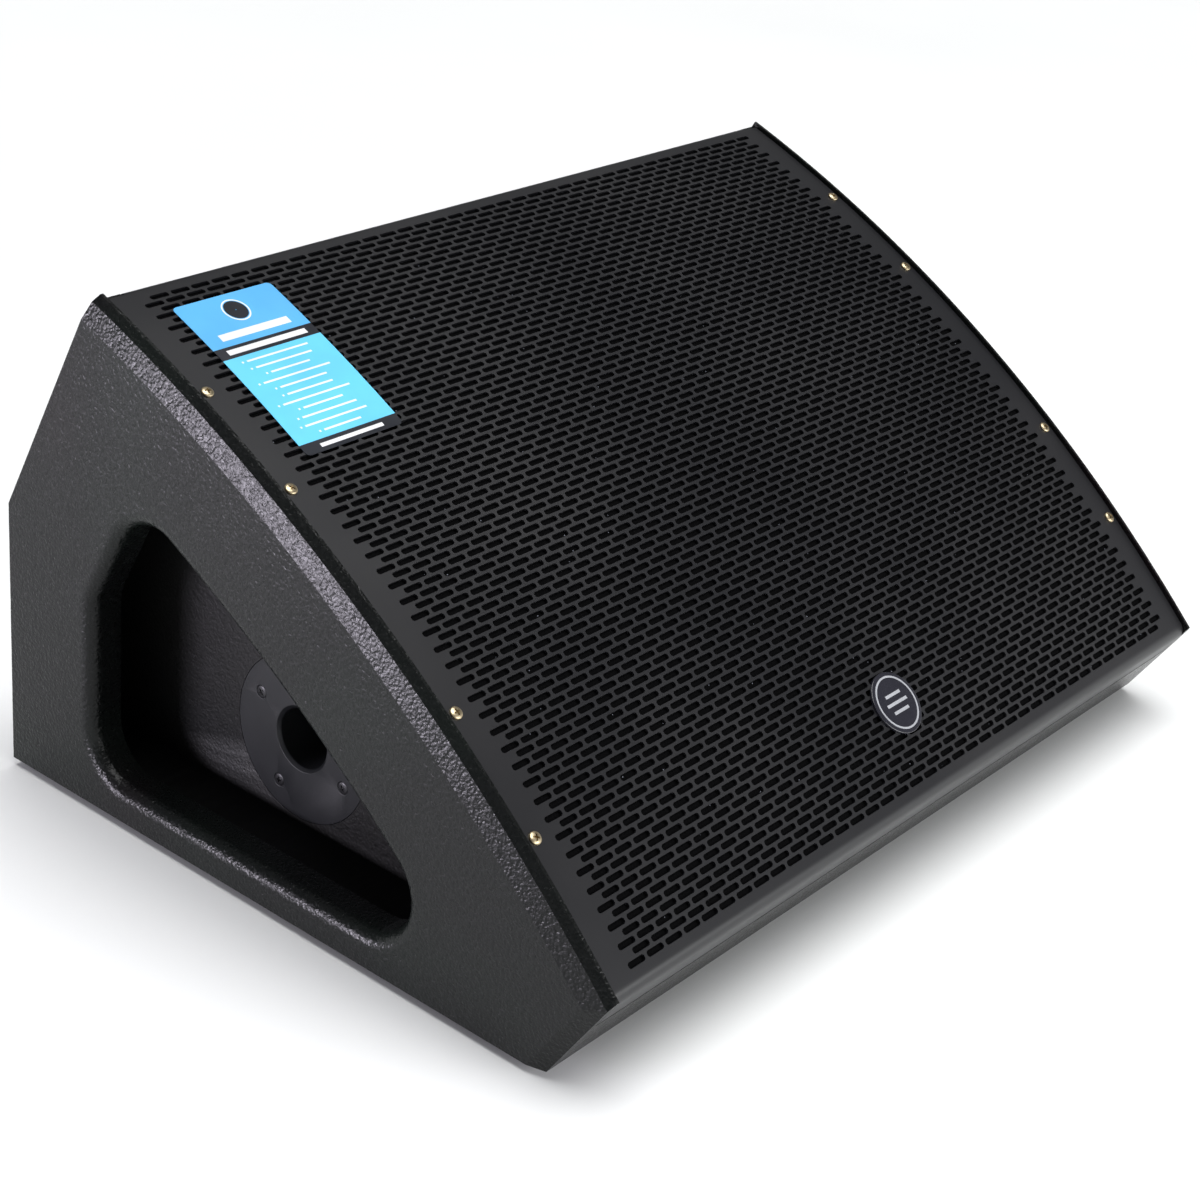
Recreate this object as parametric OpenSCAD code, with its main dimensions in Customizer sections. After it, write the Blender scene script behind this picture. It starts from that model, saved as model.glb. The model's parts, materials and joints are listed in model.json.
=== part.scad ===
// Active stage monitor wedge with a 15 inch coaxial driver.
// +Z is up, -Y is the front, the origin is on the floor under the middle of the box.

/* [Cabinet] */
// Overall width
cab_w = 600; // [540:5:680]
// Overall depth from the nose to the rear face
cab_d = 445; // [445:5:500]
// Height of the cabinet without its feet
cab_h = 306; // [300:2:330]
// Height of the upright part of the rear face
rear_h = 164; // [150:2:180]
// How far the top edge stands in front of the rear face
apex_back = 72; // [60:1:84]
// Height of the nose over the base
nose_h = 56; // [50:1:64]
// How far the front edge of the base lies behind the nose
toe_back = 35; // [25:1:45]
// Bulge of the curved front over its straight chord
front_bulge = 25; // [18:1:28]
// Thickness of the side panels
side_t = 22; // [18:1:25]
// Thickness of the bottom and top boards
board_t = 15; // [12:1:18]
// Thickness of the rear board
rear_t = 18; // [15:1:20]
// Height of the rubber feet
foot_h = 5; // [3:1:8]

/* [Side panels] */
// Width of the edge bevel seen from the side
bevel_w = 16; // [10:1:20]
// Depth of the edge bevel into the panel
bevel_d = 3; // [2:0.5:3.5]
// Size of the steep edge between the bevel and the lip
crown = 4; // [2:0.5:4]
// Width of the lip beside the grille
lip_w = 9; // [8:0.5:12]
// Margin of the handle opening behind the curved front
open_front = 86; // [80:1:100]
// Margin of the handle opening at the rear
open_rear = 71; // [65:1:90]
// Margin of the handle opening at the sloping rear edge
open_slope = 80; // [70:1:95]
// Height of the handle opening's lower edge over the base
open_low = 21; // [20:1:30]
// Corner radius of the handle opening
open_r = 28; // [20:1:32]
// Radius of the rounded edge of the handle opening
open_round = 9; // [4:1:10]
// Depth of the handle pocket from the outer face
pocket_d = 57; // [50:1:64]

/* [Pole socket] */
// Bore of the pole socket
pole_bore = 35.6; // [35.2:0.1:36.4]
// Depth of the pole bore
pole_depth = 80; // [60:5:90]
// Diameter of the socket flange
flange_d = 99; // [90:1:100]
// Place of the pole axis along the depth
pole_y = 41; // [30:1:50]
// Height of the pole axis over the base
pole_z = 67; // [66:1:80]

/* [Grille] */
// Thickness of the grille sheet
sheet_t = 1.5; // [1:0.1:2]
// How far the panel lips stand proud of the grille
lip_proud = 2.5; // [1.5:0.5:4]
// Place of the grille's middle over the middle of the curved front
grille_up = 2; // [0:0.5:4]
// Place of the grille screws from the middle
screw_x = 284.5; // [282:0.5:286]
// Diameter of the grille screw heads
screw_head = 7.2; // [7:0.2:9]

/* [Coaxial driver] */
// Outer diameter of the driver's frame
driver_d = 388; // [370:2:392]
// Diameter of the hole in the baffle
cutout_d = 354; // [340:2:360]
// Place of the driver along the baffle
driver_up = 5; // [0:1:8]
// Travel of the cone each way
cone_travel = 6; // [3:0.5:7]

/* [Amplifier] */
// Width of the amplifier plate
amp_w = 346; // [320:2:360]
// Height of the amplifier plate
amp_h = 124; // [118:2:130]
// Height of the plate's middle over the base
amp_z = 84; // [80:1:88]
// Depth of the plate's face behind the rear face
amp_recess = 10; // [8:0.5:11]

/* [Hidden] */
$fn = 64;
fine = 360;
eps = 0.01;
gap = 0.3;
side_x = cab_w / 2;
core_w = cab_w - 2 * side_t;
rear_y = cab_d / 2;
apex = [rear_y - apex_back, cab_h];
nose = [rear_y - cab_d, nose_h];
toe = [nose[0] + toe_back, 0];
shoulder = [rear_y, rear_h];
// the front is an arc over the chord from the nose to the apex
chord = norm(apex - nose);
along = (apex - nose) / chord;
outward = [-along[1], along[0]];
middle = (apex + nose) / 2;
tilt = atan2(along[1], along[0]);
front_r = (chord * chord / 4 + front_bulge * front_bulge) / (2 * front_bulge);
front_c = middle - outward * (front_r - front_bulge);
grille_r = front_r - lip_proud;
foam_t = 4;
// the foam lies just under the grille sheet, and the boards end just under the foam
foam_r = grille_r - sheet_t - gap;
under_foam_r = foam_r - foam_t - gap;
grille_x = side_x - lip_w - 0.5;
slope = (apex - shoulder) / norm(apex - shoulder);
slope_in = [-slope[1], slope[0]];
kick = (nose - toe) / norm(nose - toe);
kick_in = [kick[1], -kick[0]];
toe_bevel = 9;
kick_top = 35;
kick_len = kick_top / kick[1];
// the baffle's own frame starts at the middle of the chord
baffle_front = -14;
baffle_t = 18;
baffle_back = baffle_front - baffle_t;
fold_h = 14;
pocket_wall_t = 12;
pocket_x = side_x - pocket_d;
chamber_x = pocket_x - pocket_wall_t;
flange_t = 3;
flange_screw_r = 36.5;
pole_wall = 4;
socket_screws = 4;
screw_turn = 27;
// grille screws sit in mirrored pairs, measured along the front
screw_steps = [-142, -71, 71, 142];
port_d = 60;
port_wall = 2.5;
port_len = 55;
port_at = [188, -152];
foot_d = 38;
foot_at = [258, 150];
amp_y = rear_y - amp_recess;
plate_t = 2;
amp_ledge = 8;

// ---- shared frames and outlines ----

module cabinet() {
    translate([0, 0, foot_h]) children();
}

// outline drawn in Y and Z, drawn out along X
module x_slab(x0, x1) {
    translate([x0, 0, 0]) rotate([90, 0, 90]) linear_extrude(x1 - x0) children();
}

module both_sides() {
    children();
    mirror([1, 0, 0]) children();
}

// local Z is square to the baffle, local Y runs up along it
module on_baffle() {
    cabinet() translate([0, middle[0], middle[1]]) rotate([tilt, 0, 0]) children();
}

module on_driver() {
    on_baffle() translate([0, driver_up, 0]) children();
}

// local Z points out of the grille, a distance s up from its middle
module on_front(x, s) {
    cabinet() translate([x, front_c[0], front_c[1]])
        rotate([tilt - (s + grille_up) / grille_r * 180 / PI, 0, 0])
        translate([0, 0, grille_r]) children();
}

// local Z points out of the rear face, local Y points down
module on_amp(x, z) {
    cabinet() translate([x, amp_y, amp_z + z]) rotate([-90, 0, 0]) children();
}

module front_disc(r) {
    translate(front_c) circle(r = r, $fn = fine);
}

module straight_profile() {
    polygon([[rear_y, 0], shoulder, apex, apex + outward * 2 * front_bulge,
        nose + outward * 2 * front_bulge, nose, toe]);
}

module profile(r) {
    intersection() {
        straight_profile();
        front_disc(r);
    }
}

module rear_strip() {
    translate([rear_y - rear_t, 0]) square([rear_t, rear_h]);
}

module top_strip() {
    difference() {
        polygon([shoulder, apex, apex + slope_in * board_t, shoulder + slope_in * board_t]);
        rear_strip();
    }
}

module kick_strip() {
    polygon([toe, toe + kick * kick_len, toe + kick * kick_len + kick_in * board_t,
        toe + kick_in * board_t]);
}

// ---- cabinet ----

module opening_outline(grow) {
    offset(r = grow, $fn = 48) offset(r = open_r, $fn = 48) offset(r = -open_r) intersection() {
        front_disc(front_r - open_front);
        translate([-cab_d, open_low]) square([cab_d + rear_y - open_rear, cab_h]);
        polygon([shoulder + slope_in * open_slope - slope * cab_h, shoulder
            + slope_in * open_slope + slope * cab_h, [-cab_d, cab_h], [-cab_d, -cab_h]]);
    }
}

// a bevel that touches the edge's quarter turn at angle a
module edge_bevel(a) {
    past = 1;
    wide = open_round - (open_round - (open_round + past) * cos(a)) / sin(a);
    deep = open_round - (open_round - (open_round + past) * sin(a)) / cos(a);
    hull() {
        x_slab(-side_x - past - eps, -side_x - past) opening_outline(wide);
        x_slab(-side_x + deep, -side_x + deep + eps) opening_outline(-past);
    }
}

module side_panel() {
    difference() {
        intersection() {
            x_slab(-side_x, -side_x + side_t) straight_profile();
            translate([-side_x, front_c[0], front_c[1]]) rotate([0, 90, 0]) union() {
                cylinder(h = bevel_d, r1 = front_r - bevel_w, r2 = front_r - crown, $fn = fine);
                translate([0, 0, bevel_d])
                    cylinder(h = crown, r1 = front_r - crown, r2 = front_r, $fn = fine);
                translate([0, 0, bevel_d + crown]) cylinder(h = side_t, r = front_r, $fn = fine);
            }
        }
        // bevel along the undercut
        translate([-side_x, toe[0], toe[1]]) rotate([atan2(-kick[0], kick[1]), 0, 0])
            translate([0, 0, -cab_d / 2]) linear_extrude(cab_d)
            polygon([[-bevel_d, 2 * toe_bevel], [2 * bevel_d, -toe_bevel], [-bevel_d, -toe_bevel]]);
        x_slab(-side_x - 1, -side_x + side_t + 1) opening_outline(0);
        for (a = [22.5, 67.5]) edge_bevel(a);
        // rebate that the grille lies in
        rebate(-side_x + lip_w);
        for (s = screw_steps)
            translate([0, 0, -foot_h]) on_front(-screw_x, s) translate([0, 0, -30])
                cylinder(d = 3, h = 40);
    }
}

module rebate(x0) {
    difference() {
        x_slab(x0, x0 + side_t) square([2 * cab_d, 2 * cab_h], center = true);
        x_slab(x0 - 1, x0 + side_t + 1) profile_inset();
    }
}

// what stays behind the grille sheet and its folded edges
module profile_inset() {
    back = sheet_t + lip_proud;
    intersection() {
        front_disc(front_r - back);
        polygon([[cab_d, -1], [cab_d, cab_h], apex - slope * back, apex - slope * back
            + outward * cab_h, nose + outward * cab_h, nose + kick_in * (sheet_t + 1),
            toe + kick * (kick_len + 1) + kick_in * (sheet_t + 1),
            toe + kick * (kick_len + 1), toe, toe - [1, 1]]);
    }
}

module side_panel_left() {
    color("#26282a") cabinet() side_panel();
}

module side_panel_right() {
    color("#26282a") cabinet() mirror([1, 0, 0]) side_panel();
}

module pocket_wall_left() {
    color("#2c2e30") cabinet() difference() {
        x_slab(-pocket_x, -chamber_x) inner_outline();
        translate([-pocket_x - eps, pole_y, pole_z]) rotate([0, 90, 0]) {
            cylinder(d = flange_d + 0.4, h = flange_t + eps);
            cylinder(d = pole_bore + 2 * pole_wall + 0.4, h = pocket_wall_t + 1);
            socket_screw_places() cylinder(d = 3, h = pocket_wall_t + 1);
        }
    }
}

module pocket_wall_right() {
    color("#2c2e30") cabinet() mirror([1, 0, 0]) x_slab(-pocket_x, -chamber_x) inner_outline();
}

// space between the boards and behind the baffle
module inner_outline() {
    difference() {
        profile(front_r - bevel_w);
        rear_strip();
        top_strip();
        kick_strip();
        square_under(board_t);
        translate(middle) rotate(tilt) translate([-cab_d, baffle_back]) square([2 * cab_d, cab_h]);
    }
}

module square_under(z) {
    translate([-cab_d, -1]) square([2 * cab_d, z + 1]);
}

module bottom_panel() {
    color("#222426") cabinet() difference() {
        x_slab(-core_w / 2, core_w / 2) difference() {
            intersection() {
                profile(front_r);
                square_under(board_t);
            }
            rear_strip();
            kick_strip();
        }
        foot_places() translate([0, 0, -1]) cylinder(d = 3, h = board_t);
    }
}

module rear_panel() {
    color("#222426") cabinet() difference() {
        x_slab(-core_w / 2, core_w / 2) rear_strip();
        amp_block(amp_w + 1, amp_h + 1, amp_y - plate_t, amp_recess + plate_t + 1);
        amp_block(amp_w - 2 * amp_ledge, amp_h - 2 * amp_ledge, rear_y - rear_t - 1, rear_t);
        translate([0, 0, -foot_h]) amp_screw_places() translate([0, 0, -8.5]) cylinder(d = 2.6, h = 9);
    }
}

module amp_block(w, h, y, d) {
    translate([-w / 2, y, amp_z - h / 2]) cube([w, d, h]);
}

module top_panel() {
    color("#222426") cabinet() x_slab(-core_w / 2, core_w / 2) difference() {
        intersection() {
            top_strip();
            front_disc(under_foam_r);
        }
        translate(-slope_in * eps) slope_strip(sheet_t + gap, fold_h + 1);
    }
}

module kick_panel() {
    color("#303234") cabinet() x_slab(-core_w / 2, core_w / 2) kick_strip();
}

module baffle() {
    color("#1c1d1f") difference() {
        cabinet() x_slab(-core_w / 2, core_w / 2) difference() {
            intersection() {
                profile(front_r - bevel_w);
                translate(middle) rotate(tilt) translate([-cab_d, baffle_back])
                    square([2 * cab_d, baffle_t]);
                translate(middle) rotate(tilt) translate([-chord / 2 + 16, -cab_h])
                    square([chord, 2 * cab_h]);
            }
            top_strip();
        }
        on_driver() translate([0, 0, baffle_back - 1]) {
            cylinder(d = cutout_d, h = baffle_t + 2, $fn = fine);
            driver_screw_places() cylinder(d = 5, h = baffle_t + 2);
        }
        port_places() translate([0, 0, baffle_back - 1])
            cylinder(d = port_d + 2 * port_wall, h = baffle_t + 2);
    }
}

module grille_rails() {
    rail_w = 14;
    color("#1c1d1f") cabinet() {
        both_sides() x_slab(core_w / 2 - rail_w, core_w / 2) front_wedge(-chord / 2 + 36, chord - 56);
        x_slab(-core_w / 2, core_w / 2) front_wedge(-chord / 2 + 16, 19);
        x_slab(-core_w / 2, core_w / 2) difference() {
            front_wedge(chord / 2 - 19, 40);
            top_strip();
        }
    }
}

// what lies between the baffle and the foam, from u on for a length w
module front_wedge(u, w) {
    intersection() {
        profile(under_foam_r);
        profile_inset();
        translate(middle) rotate(tilt) translate([u, baffle_front]) square([w, cab_h]);
    }
}

module foot_places() {
    for (x = [-foot_at[0], foot_at[0]]) for (y = [-foot_at[1], foot_at[1]])
        translate([x, y + 10, 0]) children();
}

module feet() {
    color("#101010") foot_places() difference() {
        cylinder(d1 = foot_d - 4, d2 = foot_d, h = foot_h);
        translate([0, 0, -eps]) cylinder(d = 12, h = 3);
        cylinder(d = 4.2, h = foot_h + 1);
    }
}

module foot_screws() {
    color("#8a8c8e") foot_places() {
        translate([0, 0, 1]) cylinder(d = 9, h = 1.8);
        translate([0, 0, 2]) cylinder(d = 3, h = foot_h + 9);
    }
}

// ---- grille and trim ----

module grille() {
    color("#2a2b2d") difference() {
        cabinet() {
            x_slab(-grille_x, grille_x) difference() {
                intersection() {
                    profile(grille_r);
                    translate([-cab_d, kick_top + 2]) square([2 * cab_d, cab_h]);
                }
                intersection() {
                    front_disc(grille_r - sheet_t);
                    translate(kick_in * sheet_t) undercut_side();
                }
            }
            x_slab(-core_w / 2 + gap, core_w / 2 - gap) intersection() {
                profile(grille_r);
                slope_strip(sheet_t, fold_h);
            }
        }
        grille_screw_places() translate([0, 0, -6]) cylinder(d = 3.4, h = 8);
    }
}

// everything behind the line of the undercut
module undercut_side() {
    polygon([toe - kick * cab_h, toe + kick * cab_h, toe + kick * cab_h + kick_in * 2 * cab_d,
        toe - kick * cab_h + kick_in * 2 * cab_d]);
}

// strip just inside the sloping rear edge, from the top edge down
module slope_strip(t, h) {
    polygon([apex, apex + slope_in * t, apex + slope_in * t - slope * h, apex - slope * h]);
}

module grille_screw_places() {
    for (x = [-screw_x, screw_x]) for (s = screw_steps) on_front(x, s) children();
}

module grille_foam() {
    margin = 7;
    color("#151617") cabinet() x_slab(-core_w / 2 + gap, core_w / 2 - gap) intersection() {
        difference() {
            front_disc(foam_r);
            front_disc(foam_r - foam_t);
        }
        translate(middle) rotate(tilt) translate([-chord / 2 + margin, baffle_front + 1])
            square([chord - 2 * margin, cab_h]);
    }
}

module grille_screws() {
    color("#d8c98a") grille_screw_places() difference() {
        union() {
            intersection() {
                translate([0, 0, -4.2]) sphere(d = 12.4);
                cylinder(d = screw_head, h = 3);
            }
            translate([0, 0, -22]) cylinder(d = 3, h = 22.5);
        }
        cross_slot(4.2, 0.9, 1);
    }
}

module cross_slot(w, t, z) {
    for (a = [0, 90]) rotate(a) translate([-w / 2, -t / 2, z]) cube([w, t, 5]);
}

module badge() {
    badge_d = 37;
    color("#1b1c20") on_front(0, -174) {
        cylinder(d = badge_d, h = 1.6);
        difference() {
            cylinder(d = badge_d - 3, h = 2.2);
            translate([0, 0, -eps]) cylinder(d = badge_d - 5, h = 3);
        }
        for (y = [-6, 0, 6]) translate([-9, y - 1, 0]) cube([18, 2, 2.2]);
    }
}

module info_label() {
    label_w = 71;
    label_h = 117;
    label_r = 3;
    label_s = 144;
    label_x = -225;
    color("#6fb4e8") intersection() {
        cabinet() x_slab(label_x - label_w / 2, label_x + label_w / 2) difference() {
            front_disc(grille_r + 0.35);
            front_disc(grille_r + 0.02);
        }
        on_front(label_x, label_s) translate([0, 0, -5]) linear_extrude(10)
            offset(r = label_r) square([label_w - 2 * label_r, label_h - 2 * label_r], center = true);
    }
}

// ---- pole socket ----

module socket_screw_places() {
    for (a = [0 : 360 / socket_screws : 359]) rotate(a + screw_turn)
        translate([flange_screw_r, 0, 0]) children();
}

module on_pole() {
    cabinet() translate([-pocket_x, pole_y, pole_z]) rotate([0, 90, 0]) children();
}

module pole_socket() {
    color("#3a3c3f") on_pole() difference() {
        union() {
            cylinder(d = flange_d, h = flange_t);
            cylinder(d = pole_bore + 2 * pole_wall, h = pole_depth + pole_wall);
        }
        translate([0, 0, -eps]) {
            cylinder(d = pole_bore, h = pole_depth);
            cylinder(d1 = pole_bore + 4, d2 = pole_bore, h = 2);
            socket_screw_places() {
                cylinder(d = 3.4, h = 5);
                cylinder(d1 = 8, d2 = 3.4, h = 2.4);
            }
        }
    }
}

module pole_socket_screws() {
    color("#202020") on_pole() socket_screw_places() difference() {
        union() {
            cylinder(d1 = 7.6, d2 = 3, h = 2.3);
            cylinder(d = 3, h = flange_t + 8);
        }
        rotate([180, 0, 0]) cross_slot(4, 0.9, -1);
    }
}

// ---- coaxial driver, in the driver's own frame ----

frame_t = 5;
gasket_t = 3;
magnet_z = -96;
top_plate_t = 8;
ring_t = 20;
back_plate_t = 9;
ring_z = magnet_z - top_plate_t;
back_z = ring_z - ring_t;
can_z = back_z - back_plate_t;
coil_r = 50.6;
pole_r = 48.4;
throat_r = 18;
cone_t = 1.6;
roll_r = 8;
roll_mid = 166;

module driver_screw_places() {
    count = 8;
    for (a = [0 : 360 / count : 359]) rotate(a + 22.5)
        translate([driver_d / 2 - 8, 0, 0]) children();
}

module port_places() {
    both_sides() on_baffle() translate([port_at[0], port_at[1], 0]) children();
}

module woofer_frame() {
    seat = cutout_d / 2 - 1;
    ribs = 8;
    color("#17181a") on_driver() translate([0, 0, baffle_front]) difference() {
        union() {
            rotate_extrude($fn = fine) polygon([[seat - 3, frame_t], [driver_d / 2, frame_t],
                [driver_d / 2, 0], [seat, 0], [seat - 4, -8], [92, 5 - 82], [92, -82], [56, -82],
                [56, 4 - 82], [86, 4 - 82], [seat - 9, -8], [seat - 9, frame_t]]);
        }
        for (a = [0 : 360 / ribs : 359]) rotate(a) translate([90, -28, -72]) cube([70, 56, 54]);
        translate([0, 0, -1]) driver_screw_places() cylinder(d = 5.2, h = frame_t + 2);
    }
}

module woofer_gasket() {
    color("#141414") on_driver() translate([0, 0, baffle_front + frame_t]) difference() {
        cylinder(r = driver_d / 2 - 1, h = gasket_t, $fn = fine);
        translate([0, 0, -1]) cylinder(r = roll_mid + roll_r + 2.2, h = gasket_t + 2, $fn = fine);
        translate([0, 0, -1]) driver_screw_places() cylinder(d = 5.2, h = gasket_t + 2);
    }
}

module woofer_surround() {
    color("#1a1a1a") on_driver() translate([0, 0, baffle_front + frame_t]) rotate_extrude($fn = fine)
        translate([roll_mid, 0.2]) difference() {
            intersection() {
                circle(r = roll_r, $fn = 48);
                translate([-roll_r, 0]) square([2 * roll_r, roll_r]);
            }
            circle(r = roll_r - 1.2, $fn = 48);
        }
}

module woofer_cone() {
    rim = roll_mid - roll_r - 0.6;
    rim_z = baffle_front + frame_t;
    neck_z = -66;
    neck_r = coil_r + 0.8;
    color("#0f1012") on_driver() rotate_extrude($fn = fine) polygon([[rim, rim_z],
        [neck_r, neck_z + cone_t], [neck_r, neck_z - 1], [neck_r + 2, neck_z - 1],
        [rim, rim_z - cone_t * 1.6]]);
}

module voice_coil() {
    color("#b87333") on_driver() translate([0, 0, -116]) difference() {
        cylinder(r = coil_r + 0.8, h = 52);
        translate([0, 0, -1]) cylinder(r = coil_r - 0.2, h = 54);
    }
}

module woofer_spider() {
    color("#c9a34a") on_driver() translate([0, 0, -89]) difference() {
        cylinder(r = 88, h = 1.2);
        translate([0, 0, -1]) cylinder(r = coil_r + 1.2, h = 4);
    }
}

module magnet_top_plate() {
    color("#6e7072") on_driver() translate([0, 0, ring_z]) difference() {
        cylinder(r = 74, h = top_plate_t);
        translate([0, 0, -1]) cylinder(r = coil_r + 1.6, h = top_plate_t + 2);
    }
}

module magnet_ring() {
    color("#33302e") on_driver() translate([0, 0, back_z]) difference() {
        cylinder(r = 84, h = ring_t);
        translate([0, 0, -1]) cylinder(r = 58, h = ring_t + 2);
    }
}

module pole_piece() {
    color("#6e7072") on_driver() difference() {
        union() {
            translate([0, 0, can_z]) cylinder(r = 74, h = back_plate_t);
            translate([0, 0, can_z]) cylinder(r = pole_r, h = magnet_z - can_z);
        }
        translate([0, 0, can_z - 1]) cylinder(r = throat_r, h = 60);
    }
}

module horn_flare() {
    wall = 2;
    mouth_z = -26;
    steps = 8;
    flare = 26;
    neck = throat_r - 0.1;
    line = [for (i = [0 : steps]) [neck + flare * pow(i / steps, 1.8),
        magnet_z + (mouth_z - magnet_z) * i / steps]];
    color("#0d0d0e") on_driver() rotate_extrude($fn = 128) polygon(concat(
        [[neck - wall, can_z + 2], [neck, can_z + 2]], line,
        [for (i = [steps : -1 : 0]) line[i] - [wall, 0]]));
}

module compression_driver() {
    color("#232427") on_driver() difference() {
        union() {
            translate([0, 0, can_z - 26]) cylinder(r = 43, h = 26);
            translate([0, 0, can_z - 31]) cylinder(r = 30, h = 5.1);
        }
        translate([0, 0, can_z - 8]) cylinder(r = throat_r - 3, h = 9);
    }
}

module woofer_screws() {
    color("#2b2b2b") on_driver() translate([0, 0, baffle_front + frame_t + gasket_t])
        driver_screw_places() difference() {
            union() {
                cylinder(d = 9, h = 4);
                translate([0, 0, -28]) cylinder(d = 5, h = 30);
            }
            translate([0, 0, 2]) cylinder(d = 4.6, h = 3, $fn = 6);
        }
}

module port_tubes() {
    color("#141516") port_places() translate([0, 0, baffle_front - port_len]) difference() {
        union() {
            cylinder(d = port_d + 2 * port_wall, h = port_len);
            translate([0, 0, port_len]) cylinder(d = port_d + 14, h = 2);
        }
        translate([0, 0, -1]) cylinder(d = port_d, h = port_len + 4);
    }
}

module damping_felt() {
    felt_t = 10;
    felt_w = 2 * chamber_x - 6;
    color("#8d8f92") cabinet() {
        x_slab(-felt_w / 2, felt_w / 2) polygon([for (k = [[12, 0], [100, 0], [100, 1], [12, 1]])
            shoulder + slope * k[0] + slope_in * (board_t + felt_t * k[1])]);
        translate([-felt_w / 2, -110, board_t]) cube([felt_w, 70, felt_t]);
    }
}

// ---- amplifier ----

sockets_x = [92, 134];
socket_z = 34;
knobs_x = [84, 113, 142];
knob_z = -6;
shaft_d = 6;
knob_d = 15;
knob_h = 9;
lift_x = 92;
lift_z = -42;
lamp_x = 128;
inlet_x = -126;
inlet_z = 24;
rocker_x = -126;
rocker_z = -30;
fuse_x = -88;
fuse_z = -30;
sink_x = -14;
rocker_w = 13;
rocker_l = 19;
button_d = 7;
socket_d = 24;
xlr_bore = 18.6;
inlet_w = 27;
inlet_h = 19.5;

module amp_screw_places() {
    dx = amp_w / 2 - 4;
    dz = amp_h / 2 - 4;
    for (x = [-dx, -dx / 3, dx / 3, dx]) for (z = [-dz, dz]) on_amp(x, z) children();
    for (x = [-dx, dx]) on_amp(x, 0) children();
}

module amp_plate() {
    color("#1d1e20") difference() {
        on_amp(0, 0) translate([-amp_w / 2, -amp_h / 2, -plate_t]) cube([amp_w, amp_h, plate_t]);
        for (x = sockets_x) on_amp(x, socket_z) drill(socket_d);
        on_amp(sockets_x[0], socket_z) translate([0, -12.5, 0]) drill_box(5.6, 4.6);
        for (x = knobs_x) on_amp(x, knob_z) drill(shaft_d + 1);
        on_amp(lift_x, lift_z) drill(button_d + 1);
        for (i = [0 : 2]) on_amp(lamp_x + 12 * i, lift_z) drill(3.4);
        on_amp(inlet_x, inlet_z) drill_box(inlet_w, inlet_h);
        on_amp(rocker_x, rocker_z) drill_box(rocker_w + 3, rocker_l + 3);
        on_amp(fuse_x, fuse_z) drill(12);
        amp_screw_places() drill(3.2);
    }
}

module drill(d) {
    translate([0, 0, -plate_t - 2]) cylinder(d = d, h = plate_t + 4);
}

module drill_box(w, h) {
    translate([-w / 2, -h / 2, -plate_t - 2]) cube([w, h, plate_t + 4]);
}

module amp_screws() {
    color("#2f3032") amp_screw_places() difference() {
        union() {
            intersection() {
                cylinder(d = 6, h = 2.2);
                translate([0, 0, -3.6]) sphere(d = 11.4);
            }
            translate([0, 0, -8]) cylinder(d = 2.6, h = 8.5);
        }
        cross_slot(3, 0.8, 0.8);
    }
}

module heatsink() {
    sink_w = 120;
    sink_h = 96;
    fins = 21;
    pitch = (sink_w - 2) / (fins - 1);
    color("#1a1b1c") on_amp(sink_x, 0) {
        translate([-sink_w / 2, -sink_h / 2, 0]) cube([sink_w, sink_h, 2]);
        for (i = [0 : fins - 1]) translate([-sink_w / 2 + i * pitch, -sink_h / 2, 1.5])
            cube([2, sink_h, 7]);
    }
}

module amp_board() {
    color("#1f5c3a") on_amp(60, 0) translate([-100, -46, -44]) cube([200, 92, 1.6]);
    color("#1f5c3a") on_amp(60, 0) for (x = [-94, 94]) for (y = [-34, 34])
        translate([x, y, -42.5]) cylinder(d = 6, h = 40.5);
}

module power_supply() {
    color("#8c8f92") on_amp(-110, 0) difference() {
        translate([-46, -44, -52]) cube([92, 88, 18]);
        translate([-44, -42, -50]) cube([88, 84, 17]);
    }
    color("#8c8f92") on_amp(-110, 0) for (x = [-39, 39]) for (y = [-38, 38])
        translate([x, y, -51]) cylinder(d = 6, h = 49);
    color("#c8a020") on_amp(-110, 0) for (y = [-32, 6])
        translate([-30, y, -50.5]) cube([30, 26, 14.5]);
}

module capacitors() {
    color("#22335c") for (x = [20, 50, 80, 110]) on_amp(x, 14)
        translate([0, 0, -70]) cylinder(d = 24, h = 26);
}

module mains_inlet() {
    hole_w = 23;
    hole_h = 15.5;
    hole_d = 17;
    color("#111111") on_amp(inlet_x, inlet_z) difference() {
        union() {
            linear_extrude(2.5) offset(r = 3) square([42, 18], center = true);
            translate([-inlet_w / 2 + 0.1, -inlet_h / 2 + 0.1, -18])
                cube([inlet_w - 0.2, inlet_h - 0.2, 18]);
        }
        translate([-hole_w / 2, -hole_h / 2, 2.6 - hole_d]) cube([hole_w, hole_h, hole_d]);
        for (x = [-20, 20]) translate([x, 0, -1]) cylinder(d = 3.4, h = 5);
        pin_places() cube([2.2, 4.2, 30], center = true);
    }
}

module pin_places() {
    for (p = [[-7, 2], [0, -2], [7, 2]]) translate([p[0], p[1], -14]) children();
}

module inlet_pins() {
    color("#c9ccd0") on_amp(inlet_x, inlet_z) pin_places()
        translate([-1, -2, -10]) cube([2, 4, 20]);
}

module fuse_holder() {
    color("#121212") on_amp(fuse_x, fuse_z) difference() {
        union() {
            cylinder(d = 16, h = 3);
            translate([0, 0, -24]) cylinder(d = 11.8, h = 24.5);
            translate([0, 0, 2.9]) cylinder(d = 11, h = 3);
        }
        translate([-4.5, -0.7, 4.6]) cube([9, 1.4, 3]);
    }
}

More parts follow.
